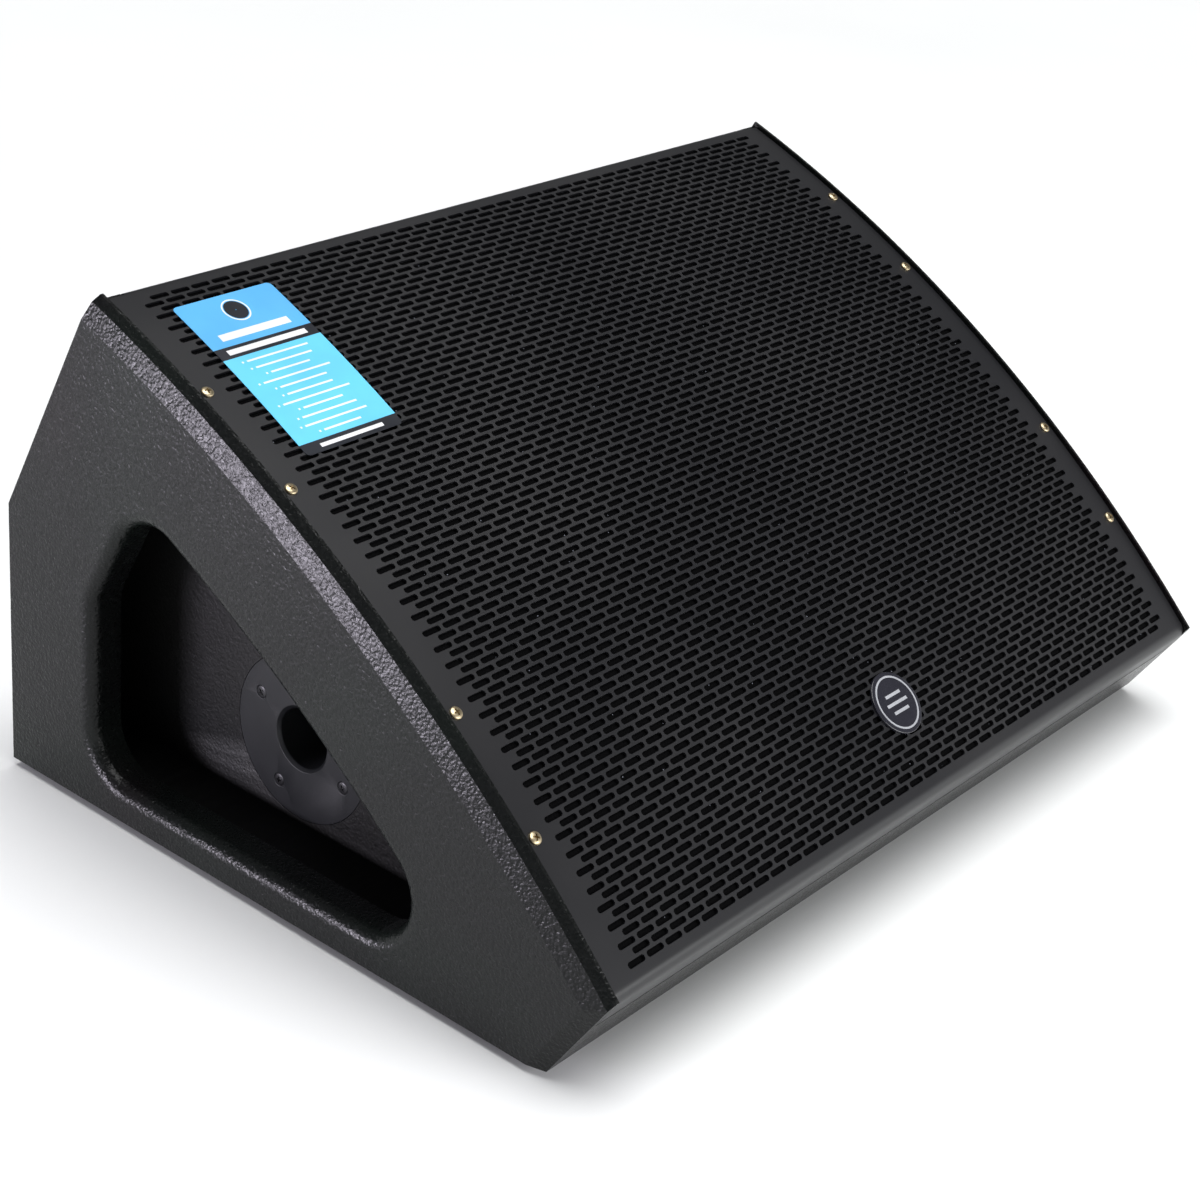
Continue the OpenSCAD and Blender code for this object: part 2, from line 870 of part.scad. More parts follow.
module rocker_frame() {
    color("#141414") on_amp(rocker_x, rocker_z) difference() {
        union() {
            translate([-rocker_w / 2 - 4, -rocker_l / 2 - 4, 0]) cube([rocker_w + 8, rocker_l + 8, 2]);
            translate([-rocker_w / 2 - 1.4, -rocker_l / 2 - 1.4, -16])
                cube([rocker_w + 2.8, rocker_l + 2.8, 17]);
        }
        translate([-rocker_w / 2, -rocker_l / 2, -12]) cube([rocker_w, rocker_l, 15]);
    }
}

// the rocker turns about X in the middle of its frame
module power_rocker() {
    pivot_z = -2;
    swing = 8;
    color("#a01818") on_amp(rocker_x, rocker_z) translate([0, 0, pivot_z]) rotate([swing, 0, 0])
        difference() {
            union() {
                rotate([0, 90, 0]) cylinder(r = 5.4, h = rocker_w - 1, center = true);
                translate([-(rocker_w - 1) / 2, -8.2, 0]) cube([rocker_w - 1, 16.4, 4.2]);
            }
            translate([0, 0, 14.4]) rotate([0, 90, 0]) cylinder(r = 12, h = rocker_w + 1, center = true);
        }
}

module xlr_flange(bore) {
    difference() {
        union() {
            linear_extrude(2) offset(r = 3) square([20, 25], center = true);
            translate([0, 0, -16]) cylinder(d = socket_d - 0.3, h = 17);
        }
        translate([0, 0, -13]) cylinder(d = bore, h = 17);
        for (k = [-1, 1]) translate([9.5 * k, 12 * k, -1]) cylinder(d = 3.2, h = 5);
    }
}

module xlr_pin_places() {
    for (a = [30, 150, 270]) rotate(a) translate([4, 0, 0]) children();
}

module input_socket() {
    color("#17181a") on_amp(sockets_x[0], socket_z) difference() {
        union() {
            xlr_flange(xlr_bore);
            translate([0, 0, -14]) cylinder(d = 13, h = 10);
        }
        translate([0, 0, -12]) xlr_pin_places() cylinder(d = 2.6, h = 12);
        translate([-2.6, -14.4, -12]) cube([5.2, 4, 16]);
    }
}

module input_latch() {
    color("#b9bcc0") on_amp(sockets_x[0], socket_z)
        translate([-2.3, -14.1, -9]) cube([4.6, 3.2, 12.6]);
}

module link_socket() {
    color("#17181a") on_amp(sockets_x[1], socket_z) difference() {
        xlr_flange(xlr_bore);
        translate([0, 0, -20]) xlr_pin_places() cylinder(d = 2.4, h = 12);
    }
}

module link_pins() {
    color("#d0b060") on_amp(sockets_x[1], socket_z) translate([0, 0, -20])
        xlr_pin_places() cylinder(d = 2.3, h = 16);
}

module potentiometers() {
    color("#9a9ca0") for (x = knobs_x) on_amp(x, knob_z) {
        translate([0, 0, -10]) cylinder(d = 16, h = 7.9);
        translate([0, 0, -2.2]) cylinder(d = shaft_d + 0.6, h = 2.4);
        translate([0, 0, 0.1]) cylinder(d = shaft_d, h = 6);
    }
}

module knob(x) {
    flutes = 18;
    on_amp(x, knob_z) translate([0, 0, 0.5]) difference() {
        union() {
            cylinder(d = knob_d, h = 2);
            translate([0, 0, 1.9]) cylinder(d1 = knob_d - 2, d2 = knob_d - 3.4, h = knob_h - 2);
        }
        translate([0, 0, -1]) cylinder(d = shaft_d + 0.06, h = knob_h - 1.5);
        for (a = [0 : 360 / flutes : 359]) rotate(a)
            translate([knob_d / 2 - 0.7, 0, 2]) cylinder(d = 1.2, h = knob_h);
        translate([-0.5, -knob_d / 2, knob_h - 0.7]) cube([1, knob_d / 2, 2]);
    }
}

module level_knob() {
    color("#2a2b2d") knob(knobs_x[0]);
}

module bass_knob() {
    color("#2a2b2d") knob(knobs_x[1]);
}

module treble_knob() {
    color("#2a2b2d") knob(knobs_x[2]);
}

module lift_switch() {
    color("#3a3c40") on_amp(lift_x, lift_z) difference() {
        translate([-6, -6, -16]) cube([12, 12, 13.8]);
        translate([0, 0, -12]) cylinder(d = button_d + 1, h = 12);
    }
}

module lift_button() {
    color("#d8d8d8") on_amp(lift_x, lift_z) translate([0, 0, -6]) cylinder(d = button_d, h = 10);
}

module status_lamps() {
    color("#3fae4a") for (i = [0 : 2]) on_amp(lamp_x + 12 * i, lift_z) {
        translate([0, 0, -4]) cylinder(d = 3.3, h = 4.4);
        translate([0, 0, 0.4]) sphere(d = 3.2);
    }
}

side_panel_left();
side_panel_right();
pocket_wall_left();
pocket_wall_right();
bottom_panel();
rear_panel();
top_panel();
kick_panel();
baffle();
grille_rails();
feet();
foot_screws();
grille();
grille_foam();
grille_screws();
badge();
info_label();
pole_socket();
pole_socket_screws();
woofer_frame();
woofer_gasket();
woofer_surround();
woofer_cone();
woofer_spider();
voice_coil();
magnet_top_plate();
magnet_ring();
pole_piece();
horn_flare();
compression_driver();
woofer_screws();
port_tubes();
damping_felt();
amp_plate();
amp_screws();
heatsink();
amp_board();
power_supply();
capacitors();
mains_inlet();
inlet_pins();
fuse_holder();
rocker_frame();
power_rocker();
input_socket();
input_latch();
link_socket();
link_pins();
potentiometers();
level_knob();
bass_knob();
treble_knob();
lift_switch();
lift_button();
status_lamps();
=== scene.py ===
"""Stage monitor wedge: the look of each part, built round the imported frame. Metres, Z up, nose at -Y."""

import json
import math

import bmesh
import bpy
from mathutils import Matrix, Vector
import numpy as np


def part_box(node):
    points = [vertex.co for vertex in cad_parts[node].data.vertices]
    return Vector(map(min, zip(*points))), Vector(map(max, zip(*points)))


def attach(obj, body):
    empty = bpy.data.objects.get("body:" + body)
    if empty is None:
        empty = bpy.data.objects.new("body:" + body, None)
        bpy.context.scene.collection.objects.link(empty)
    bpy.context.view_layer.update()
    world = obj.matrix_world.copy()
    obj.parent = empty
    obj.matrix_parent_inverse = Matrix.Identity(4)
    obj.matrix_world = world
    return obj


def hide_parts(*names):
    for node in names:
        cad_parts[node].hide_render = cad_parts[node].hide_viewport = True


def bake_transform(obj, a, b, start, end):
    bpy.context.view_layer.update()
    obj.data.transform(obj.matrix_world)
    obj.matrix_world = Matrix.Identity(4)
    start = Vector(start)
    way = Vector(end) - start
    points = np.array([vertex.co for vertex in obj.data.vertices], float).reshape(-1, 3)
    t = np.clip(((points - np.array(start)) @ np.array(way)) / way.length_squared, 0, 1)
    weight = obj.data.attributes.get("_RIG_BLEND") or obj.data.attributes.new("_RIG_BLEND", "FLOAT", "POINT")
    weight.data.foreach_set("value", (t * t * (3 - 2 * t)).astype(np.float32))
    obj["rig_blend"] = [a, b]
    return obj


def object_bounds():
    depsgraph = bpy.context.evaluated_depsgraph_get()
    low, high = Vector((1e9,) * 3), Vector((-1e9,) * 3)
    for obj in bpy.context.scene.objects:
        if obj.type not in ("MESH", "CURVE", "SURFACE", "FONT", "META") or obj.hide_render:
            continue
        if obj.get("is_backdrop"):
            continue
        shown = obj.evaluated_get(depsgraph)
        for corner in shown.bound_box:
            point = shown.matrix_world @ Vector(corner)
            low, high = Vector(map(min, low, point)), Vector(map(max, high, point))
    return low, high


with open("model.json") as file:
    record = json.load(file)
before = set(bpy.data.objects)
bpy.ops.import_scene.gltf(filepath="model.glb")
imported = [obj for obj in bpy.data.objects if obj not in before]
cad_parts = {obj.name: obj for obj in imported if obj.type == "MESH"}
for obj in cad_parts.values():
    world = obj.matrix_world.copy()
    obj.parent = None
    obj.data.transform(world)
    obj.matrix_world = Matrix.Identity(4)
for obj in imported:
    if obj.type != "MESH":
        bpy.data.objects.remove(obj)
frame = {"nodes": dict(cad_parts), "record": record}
cad_low, cad_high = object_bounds()
MM = 0.001

# ---- driving sizes: the box comes from the frame, the rest are the part's own ----
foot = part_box("feet")[1].z
side_x, rear_y = cad_high.x, cad_high.y
nose_up, toe_back, apex_back, rear_up = 56 * MM, 35 * MM, 72 * MM, 164 * MM
bulge = 25 * MM
bevel_w, bevel_d, crown, toe_bevel = 16 * MM, 3 * MM, 4 * MM, 9 * MM
side_t, lip_w, lip_proud = 22 * MM, 9 * MM, 2.5 * MM
sheet_t = 1.5 * MM
kick_top = 35 * MM
open_front, open_rear, open_slope, open_low = 86 * MM, 71 * MM, 80 * MM, 21 * MM
open_r, open_round = 28 * MM, 9 * MM
grille_up = 2 * MM
grille_x = side_x - lip_w - 0.5 * MM
core_x = side_x - side_t

# ---- outline of the cabinet in (Y, Z) ----
shoulder = Vector((rear_y, foot + rear_up))
apex = Vector((rear_y - apex_back, cad_high.z))
nose = Vector((cad_low.y, foot + nose_up))
toe = Vector((cad_low.y + toe_back, foot))
along = (apex - nose).normalized()
chord = (apex - nose).length
outward = Vector((-along.y, along.x))
tilt = math.atan2(along.y, along.x)
front_r = (chord**2 / 4 + bulge**2) / (2 * bulge)
front_c = (apex + nose) / 2 - outward * (front_r - bulge)
grille_r = front_r - lip_proud
slope = (apex - shoulder).normalized()
slope_in = Vector((-slope.y, slope.x))
kick = (nose - toe).normalized()
kick_in = Vector((kick.y, -kick.x))


def on_circle(radius, start, direction):
    """Where a line meets a circle about the front's centre, on the side the direction points to."""
    d = start - front_c
    b = d.dot(direction)
    return start + direction * (-b + math.sqrt(b * b - d.length_squared + radius * radius))


def turned(angle):
    """Unit vector in (Y, Z) square to the front, at that angle from upright."""
    return Vector((-math.sin(angle), math.cos(angle)))


def angle_of(v):
    return math.atan2(-v.x, v.y)


def front_angle(s):
    """Angle of the front at a distance s up the grille from its middle."""
    return tilt - (s + grille_up) / grille_r


def on_front(x, s):
    """Matrix whose Z points out of the grille, a distance s up from its middle."""
    n = front_angle(s)
    p = front_c + turned(n) * grille_r
    return Matrix.Translation((x, p.x, p.y)) @ Matrix.Rotation(n, 4, "X")


# ---- mesh helpers ----


def finish_piece(obj, body="cabinet", sharp=30, replaces=()):
    """Smooths a piece, rides it on its body and hides the nodes it stands in for."""
    for p in obj.data.polygons:
        p.use_smooth = True
    obj.data.set_sharp_from_angle(angle=math.radians(sharp))
    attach(obj, body)
    if replaces:
        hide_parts(*replaces)
    return obj


def new_object(name, mesh, *materials):
    obj = bpy.data.objects.new(name, mesh)
    bpy.context.scene.collection.objects.link(obj)
    for m in materials:
        mesh.materials.append(m)
    return obj


def from_bmesh(name, bm, *materials):
    bmesh.ops.remove_doubles(bm, verts=bm.verts, dist=1e-6)
    bmesh.ops.recalc_face_normals(bm, faces=bm.faces)
    mesh = bpy.data.meshes.new(name)
    bm.to_mesh(mesh)
    bm.free()
    return new_object(name, mesh, *materials)


def add_bevel(obj, width, segments=2):
    """Eases the edges that turn by more than 35 degrees."""
    mod = obj.modifiers.new("edge", "BEVEL")
    mod.width, mod.segments = width, segments
    mod.limit_method, mod.angle_limit = "ANGLE", math.radians(35)
    mod.use_clamp_overlap = True
    mod.harden_normals = True
    return obj


class Sheet:
    """A bent sheet of one thickness: its front faces are given, its back and edges are made to match."""

    def __init__(self, place, thickness):
        self.place, self.thickness = place, thickness
        self.index, self.front, self.back, self.faces, self.slots = {}, [], [], [], []

    def vertex(self, u, v):
        key = (round(u * 1e6), round(v * 1e6))
        if key not in self.index:
            self.index[key] = len(self.front)
            p, n = self.place(v)
            q = p - n * self.thickness
            self.front.append((u, p.x, p.y))
            self.back.append((u, q.x, q.y))
        return self.index[key]

    def face(self, corners, slot=0):
        self.faces.append([self.vertex(u, v) for u, v in corners])
        self.slots.append(slot)

    def mesh(self, name):
        count = len(self.front)
        edges = {(a, b): s for f, s in zip(self.faces, self.slots) for a, b in zip(f, f[1:] + f[:1])}
        rim = sorted(e for e in edges if (e[1], e[0]) not in edges)
        faces = self.faces + [[i + count for i in reversed(f)] for f in self.faces]
        faces += [[b, a, a + count, b + count] for a, b in rim]
        mesh = bpy.data.meshes.new(name)
        mesh.from_pydata(self.front + self.back, [], faces)
        slots = self.slots + self.slots + [edges[e] for e in rim]
        mesh.polygons.foreach_set("material_index", slots)
        mesh.update()
        return mesh


def lathe(profile, segments=64, wave=None):
    """bmesh turned from (radius, height) points about Z. wave gives a factor for the radius at an angle."""
    bm = bmesh.new()
    rings = []
    for r, z in profile:
        ring = []
        for i in range(segments):
            a = 2 * math.pi * i / segments
            k = r * (wave(a, z) if wave else 1)
            ring.append(bm.verts.new((k * math.cos(a), k * math.sin(a), z)))
        rings.append(ring)
    for low, high in zip(rings, rings[1:]):
        for i in range(segments):
            j = (i + 1) % segments
            bm.faces.new((low[i], low[j], high[j], high[i]))
    bm.faces.new(list(reversed(rings[0])))
    bm.faces.new(rings[-1])
    return bm


def rounded(radius, low, high, r, steps=5):
    """Side of a disc whose top edge is rounded."""
    turn = [(radius - r + r * math.cos(a), high - r + r * math.sin(a))
            for a in (math.pi / 2 * i / steps for i in range(steps + 1))]
    return [(radius, low)] + turn


def carve(name, bm, cutter_bm):
    """Mesh of one body with another taken out of it."""
    body, cutter = (from_bmesh(n, b) for n, b in ((name, bm), (name + "_cutter", cutter_bm)))
    mod = body.modifiers.new("carve", "BOOLEAN")
    mod.operation, mod.solver, mod.object = "DIFFERENCE", "EXACT", cutter
    graph = bpy.context.evaluated_depsgraph_get()
    mesh = bpy.data.meshes.new_from_object(body.evaluated_get(graph))
    for o in (body, cutter):
        bpy.data.objects.remove(o)
    return mesh


def copies(name, mesh, places, *materials):
    """One object that holds a copy of a mesh at each place."""
    bm = bmesh.new()
    for m in places:
        part = mesh.copy()
        part.transform(m)
        bm.from_mesh(part)
        bpy.data.meshes.remove(part)
    out = bpy.data.meshes.new(name)
    bm.to_mesh(out)
    bm.free()
    return new_object(name, out, *materials)


def box_into(bm, low, high):
    made = bmesh.ops.create_cube(bm, size=1)["verts"]
    size = Vector(high) - Vector(low)
    for v in made:
        v.co = Vector(low) + Vector(((v.co.x + 0.5) * size.x, (v.co.y + 0.5) * size.y,
                                     (v.co.z + 0.5) * size.z))
    return made


def cross_cutter(reach, width, bottom, top):
    """Tapered cross that cuts a screw's recess."""
    bm = bmesh.new()
    rings = []
    for z, r, w in ((bottom, reach * 0.5, width * 0.6), (top, reach, width)):
        ring = []
        for k in range(4):
            quarter = Matrix.Rotation(k * math.pi / 2, 3, "Z")
            ring += [bm.verts.new(quarter @ Vector(p)) for p in ((r, -w, z), (r, w, z), (w, w, z))]
        rings.append(ring)
    low, high = rings
    for i in range(len(low)):
        j = (i + 1) % len(low)
        bm.faces.new((low[i], low[j], high[j], high[i]))
    bm.faces.new(low[::-1])
    bm.faces.new(high)
    return bm


# ---- materials ----


class Paint:
    """A Principled material whose colour, roughness and relief come from object-space noise."""

    def __init__(self, name, colour, rough, metal=0.0):
        self.material = bpy.data.materials.new(name)
        self.material.use_nodes = True
        self.nodes, self.links = self.material.node_tree.nodes, self.material.node_tree.links
        self.shader = self.nodes["Principled BSDF"]
        self.set("Base Color", (*colour, 1))
        self.set("Roughness", rough)
        self.set("Metallic", metal)
        self.colour, self.rough = colour, rough
        self.coords = self.nodes.new("ShaderNodeTexCoord").outputs["Object"]
        self.normal = None

    def set(self, socket, value):
        self.shader.inputs[socket].default_value = value
        return self

    def noise(self, scale, detail=3.0, stretch=(1, 1, 1), distort=0.0):
        place = self.nodes.new("ShaderNodeMapping")
        place.inputs["Scale"].default_value = stretch
        self.links.new(self.coords, place.inputs["Vector"])
        node = self.nodes.new("ShaderNodeTexNoise")
        node.inputs["Scale"].default_value = scale
        node.inputs["Detail"].default_value = detail
        node.inputs["Distortion"].default_value = distort
        self.links.new(place.outputs["Vector"], node.inputs["Vector"])
        return node.outputs["Fac"]

    def cells(self, scale, feature="F1", smooth=None):
        node = self.nodes.new("ShaderNodeTexVoronoi")
        node.feature = feature
        node.inputs["Scale"].default_value = scale
        if smooth is not None:
            node.inputs["Smoothness"].default_value = smooth
        self.links.new(self.coords, node.inputs["Vector"])
        return node.outputs["Distance"]

    def remap(self, value, low, high, to_low, to_high):
        node = self.nodes.new("ShaderNodeMapRange")
        for i, number in enumerate((low, high, to_low, to_high)):
            node.inputs[1 + i].default_value = number
        self.links.new(value, node.inputs[0])
        return node.outputs[0]

    def tint(self, value, other, low=0.35, high=0.7):
        """Mixes towards another colour where the value is high."""
        node = self.nodes.new("ShaderNodeMix")
        node.data_type = "RGBA"
        source = self.shader.inputs["Base Color"]
        if source.is_linked:
            self.links.new(source.links[0].from_socket, node.inputs[6])
        else:
            node.inputs[6].default_value = source.default_value
        node.inputs[7].default_value = (*other, 1)
        self.links.new(self.remap(value, low, high, 0, 1), node.inputs[0])
        self.links.new(node.outputs[2], source)
        return self

    def vary_rough(self, value, spread):
        out = self.remap(value, 0.3, 0.7, self.rough - spread, self.rough + spread)
        self.links.new(out, self.shader.inputs["Roughness"])
        return self

    def bump(self, value, height, strength=1.0):
        node = self.nodes.new("ShaderNodeBump")
        node.inputs["Distance"].default_value = height
        node.inputs["Strength"].default_value = strength
        self.links.new(value, node.inputs["Height"])
        if self.normal:
            self.links.new(self.normal, node.inputs["Normal"])
        self.normal = node.outputs["Normal"]
        self.links.new(self.normal, self.shader.inputs["Normal"])
        return self


def scaled(colour, factor):
    return tuple(min(1.0, c * factor) for c in colour)


def plain(name, colour, rough, metal=0.0, grain=900, relief=0.02 * MM):
    """Moulded or painted surface with fine grain, uneven gloss and faint dust."""
    p = Paint(name, colour, rough, metal)
    fine, wide = p.noise(grain), p.noise(18, 4)
    p.tint(wide, scaled(colour, 1.35), 0.45, 0.75)
    p.vary_rough(wide, 0.06)
    p.bump(fine, relief)
    return p


def brushed(name, colour, rough):
    """Bare metal with a fine grain drawn one way."""
    p = Paint(name, colour, rough, 1.0)
    grain = p.noise(300, 4, (1, 1, 12))
    p.tint(grain, scaled(colour, 0.72), 0.4, 0.7)
    p.vary_rough(grain, 0.08)
    p.bump(grain, 0.01 * MM)
    return p


def make_coat(name, colour, warm, cool, rough, relief, gloss):
    """Thick sprayed coat with the orange-peel relief of a hard-wearing stage finish."""
    p = Paint(name, colour, rough)
    peel = p.noise(430, 2.5, distort=0.5)
    beads = p.cells(560, "SMOOTH_F1", 0.6)
    p.tint(p.noise(4.5, 2, (1, 1.4, 1)), warm, 0.55, 0.8)
    p.tint(p.noise(7, 3), cool, 0.5, 0.75)
    p.vary_rough(peel, 0.06)
    p.bump(beads, 0.7 * relief, 0.7)
    p.bump(peel, relief, 0.8)
    p.set("Specular IOR Level", gloss)
    return p.material


def make_panel_coat():
    return make_coat("panel_coat", (0.0036, 0.0042, 0.0041), (0.0085, 0.0045, 0.0065),
                     (0.005, 0.0075, 0.006), 0.29, 0.45 * MM, 0.21)


def make_pocket_paint():
    return make_coat("pocket_paint", (0.0050, 0.0048, 0.0048), (0.009, 0.0075, 0.0065),
                     (0.005, 0.0055, 0.006), 0.48, 0.30 * MM, 0.22)


def make_socket_coat():
    p = plain("socket_coat", (0.0085, 0.0092, 0.0105), 0.46, grain=700, relief=0.05 * MM)
    return p.set("Specular IOR Level", 0.28).material


def make_board_paint():
    """Matt black paint with the wood's grain faintly in its relief."""
    p = Paint("board_paint", (0.0035, 0.0035, 0.0038), 0.62)
    grain = p.noise(55, 5, (0.4, 6, 6))
    p.tint(grain, (0.006, 0.006, 0.0062), 0.45, 0.75)
    p.vary_rough(grain, 0.08)
    p.bump(grain, 0.08 * MM)
    p.set("Specular IOR Level", 0.2)
    return p.material


def make_grille_paint():
    p = Paint("grille_paint", (0.0062, 0.0063, 0.0080), 0.38)
    fine, wide = p.noise(1400, 2), p.noise(6, 3)
    p.tint(wide, (0.0100, 0.0096, 0.0110), 0.45, 0.8)
    p.vary_rough(wide, 0.05)
    p.bump(fine, 0.015 * MM, 0.6)
    return p.material


def make_foam():
    """Open-cell foam with painted glints: bright spots in its colour stand for light caught by stray cells.
    """
    p = Paint("grille_foam_look", (0.0010, 0.0010, 0.0013), 0.85)
    p.set("Specular IOR Level", 0.06)
    pores = p.cells(700)
    painted_glint = p.cells(120, "F1")
    # painted highlight: bright bluish spots in the colour stand for glints off stray cells
    p.tint(p.remap(painted_glint, 0.0, 0.06, 1, 0), (0.42, 0.44, 0.52), 0.2, 0.9)
    p.bump(pores, 0.5 * MM, 0.8)
    return p.material


def make_cloth(name, colour):
    p = Paint(name, colour, 0.9)
    weave, soft = p.noise(520, 2, (1, 6, 1)), p.noise(60, 4)
    p.tint(soft, scaled(colour, 1.5), 0.4, 0.75)
    p.bump(weave, 0.2 * MM)
    p.set("Sheen Weight", 0.25)
    p.set("Sheen Roughness", 0.5)
    return p.material


def make_rubber(name, colour):
    p = plain(name, colour, 0.72, grain=650, relief=0.06 * MM)
    p.tint(p.noise(45, 5), (0.045, 0.044, 0.042), 0.6, 0.85)
    return p.material


def make_plywood(name, colour):
    """Thin paint that lets the wood's grain show in the relief."""
    p = Paint(name, colour, 0.6)
    grain = p.noise(55, 5, (0.4, 6, 6))
    p.tint(grain, scaled(colour, 1.6), 0.45, 0.75)
    p.vary_rough(grain, 0.1)
    p.bump(grain, 0.12 * MM)
    return p.material


def make_circuit_board():
    p = Paint("circuit_board", (0.02, 0.12, 0.055), 0.35)
    tracks = p.cells(140, "DISTANCE_TO_EDGE")
    p.tint(p.remap(tracks, 0.0, 0.12, 1, 0), (0.045, 0.20, 0.09), 0.3, 0.8)
    p.bump(tracks, 0.05 * MM)
    p.set("Coat Weight", 0.5)
    return p.material


def by_class(m):
    """The look of a slot from the record's class and base colour."""
    name, colour = m["slot"], tuple(m["base_color"][:3])
    kind = m["class"]
    if kind in ("brushed_steel", "aluminium", "chrome", "brass"):
        if max(colour) < 0.1:
            return plain(name, colour, 0.4, 0.6).material
        return brushed(name, colour, 0.32).material
    if kind == "rubber":
        return make_rubber(name, colour)
    if kind == "fabric":
        return make_cloth(name, colour)
    if kind == "wood":
        return make_plywood(name, colour)
    if kind == "cast_iron":
        return plain(name, colour, 0.75, grain=420, relief=0.12 * MM).material
    if kind == "gloss_plastic":
        return plain(name, colour, 0.22, grain=300, relief=0.008 * MM).set("Coat Weight", 0.3).material
    if kind == "painted_metal":
        return plain(name, colour, 0.45, grain=1100, relief=0.03 * MM).material
    return plain(name, colour, 0.5, grain=800, relief=0.04 * MM).material


special = {
    "panel_coat": make_panel_coat,
    "pocket_paint": make_pocket_paint,
    "board_paint": make_board_paint,
    "socket_coat": make_socket_coat,
    "grille_paint": make_grille_paint,
    "circuit_board": make_circuit_board,
}
looks = {m["slot"]: special[m["slot"]]() if m["slot"] in special else by_class(m)
         for m in frame["record"]["materials"]}
slot_of = {s["node"]: s["material_slot"] for s in frame["record"]["subparts"]}
body_of = {n: b for b, nodes in frame["record"]["behaviour"]["bodies"].items() for n in nodes}

for node, obj in frame["nodes"].items():
    look = looks[slot_of[node]]
    if obj.material_slots:
        for s in obj.material_slots:
            s.link = "OBJECT"
            s.material = look
    else:
        obj.data.materials.append(look)


def soften(node, width, sharp=30):
    """A copy of a CAD node with its edges eased, shown in the node's place."""
    mesh = frame["nodes"][node].data.copy()
    mesh.materials.clear()
    bm = bmesh.new()
    bm.from_mesh(mesh)
    bmesh.ops.remove_doubles(bm, verts=bm.verts, dist=2e-6)
    bmesh.ops.dissolve_limit(bm, angle_limit=math.radians(0.5), verts=bm.verts, edges=bm.edges)
    bm.to_mesh(mesh)
    bm.free()
    obj = new_object(node + "_eased", mesh, looks[slot_of[node]])
    add_bevel(obj, width)
    return finish_piece(obj, body_of[node], sharp, (node,))


def paint_shade_facing(obj, direction, look):
    """Gives the faces that look one way a second, duller black look: painted shade for the dark gap line
    where shade falls between two parts.
    """
    obj.data.materials.append(look)
    for p in obj.data.polygons:
        if p.normal.dot(direction) > 0.95:
            p.material_index = len(obj.data.materials) - 1


# ---- side panels ----


def opening_ring(grow, corner_steps=10, arc_steps=30):
    """Outline of the handle opening, grown by a distance, always with the same number of points."""
    inner = front_r - open_front - open_r
    low_z = foot + open_low + open_r
    back_y = rear_y - open_rear - open_r
    line = shoulder + slope_in * (open_slope + open_r)
    corner_rear = Vector((back_y, low_z))
    corner_up = line + slope * ((back_y - line.x) / slope.x)
    corner_top = on_circle(inner, line, slope)
    corner_nose = on_circle(inner, Vector((0, low_z)), Vector((-1, 0)))
    down, back = Vector((0, -1)), Vector((1, 0))
    top_n = (corner_top - front_c).normalized()
    nose_n = (corner_nose - front_c).normalized()
    reach = open_r + grow
    points = []

    def sweep(centre, start, end, steps):
        a, b = (math.atan2(v.y, v.x) for v in (start, end))
        if b < a:
            b += 2 * math.pi
        for i in range(steps + 1):
            t = a + (b - a) * i / steps
            points.append(centre + Vector((math.cos(t), math.sin(t))) * reach)

    sweep(corner_rear, down, back, corner_steps)
    sweep(corner_up, back, -slope_in, 4)
    sweep(corner_top, -slope_in, top_n, corner_steps)
    a, b = (math.atan2(v.y, v.x) for v in (top_n, nose_n))
    for i in range(1, arc_steps):
        t = a + (b - a) * i / arc_steps
        points.append(front_c + Vector((math.cos(t), math.sin(t))) * (inner + reach))
    sweep(corner_nose, nose_n, down, corner_steps)
    return points


def panel_ring(kind, steps=72):
    """Outline of a side panel at one depth: from its face to what lies behind the grille."""
    radius, inset, tops = {
        "face": (front_r - bevel_w, toe_bevel, 0),
        "edge": (front_r - crown, 0, 0),
        "full": (front_r, 0, 0),
        "behind": (front_r - lip_proud - sheet_t, sheet_t + MM, lip_proud + sheet_t),
    }[kind]
    line = toe + kick_in * inset
    top_line = apex - slope * tops
    if kind == "behind":
        start = on_circle(radius, top_line, outward)
    else:
        start = top_line = on_circle(radius, shoulder, slope)
    end = on_circle(radius, line, kick)
    a, b = (angle_of(p - front_c) for p in (start, end))
    arc = [front_c + turned(a + (b - a) * i / steps) * radius for i in range(steps + 1)]
    knee = line + kick * (kick_top / kick.y + MM)
    heel = line - kick * ((line.y - foot) / kick.y)
    if kind == "behind":
        return [Vector((rear_y, foot)), shoulder, top_line, *arc, knee, knee - kick_in * inset, toe]
    return [Vector((rear_y, foot)), shoulder, top_line, *arc, knee, knee, heel]


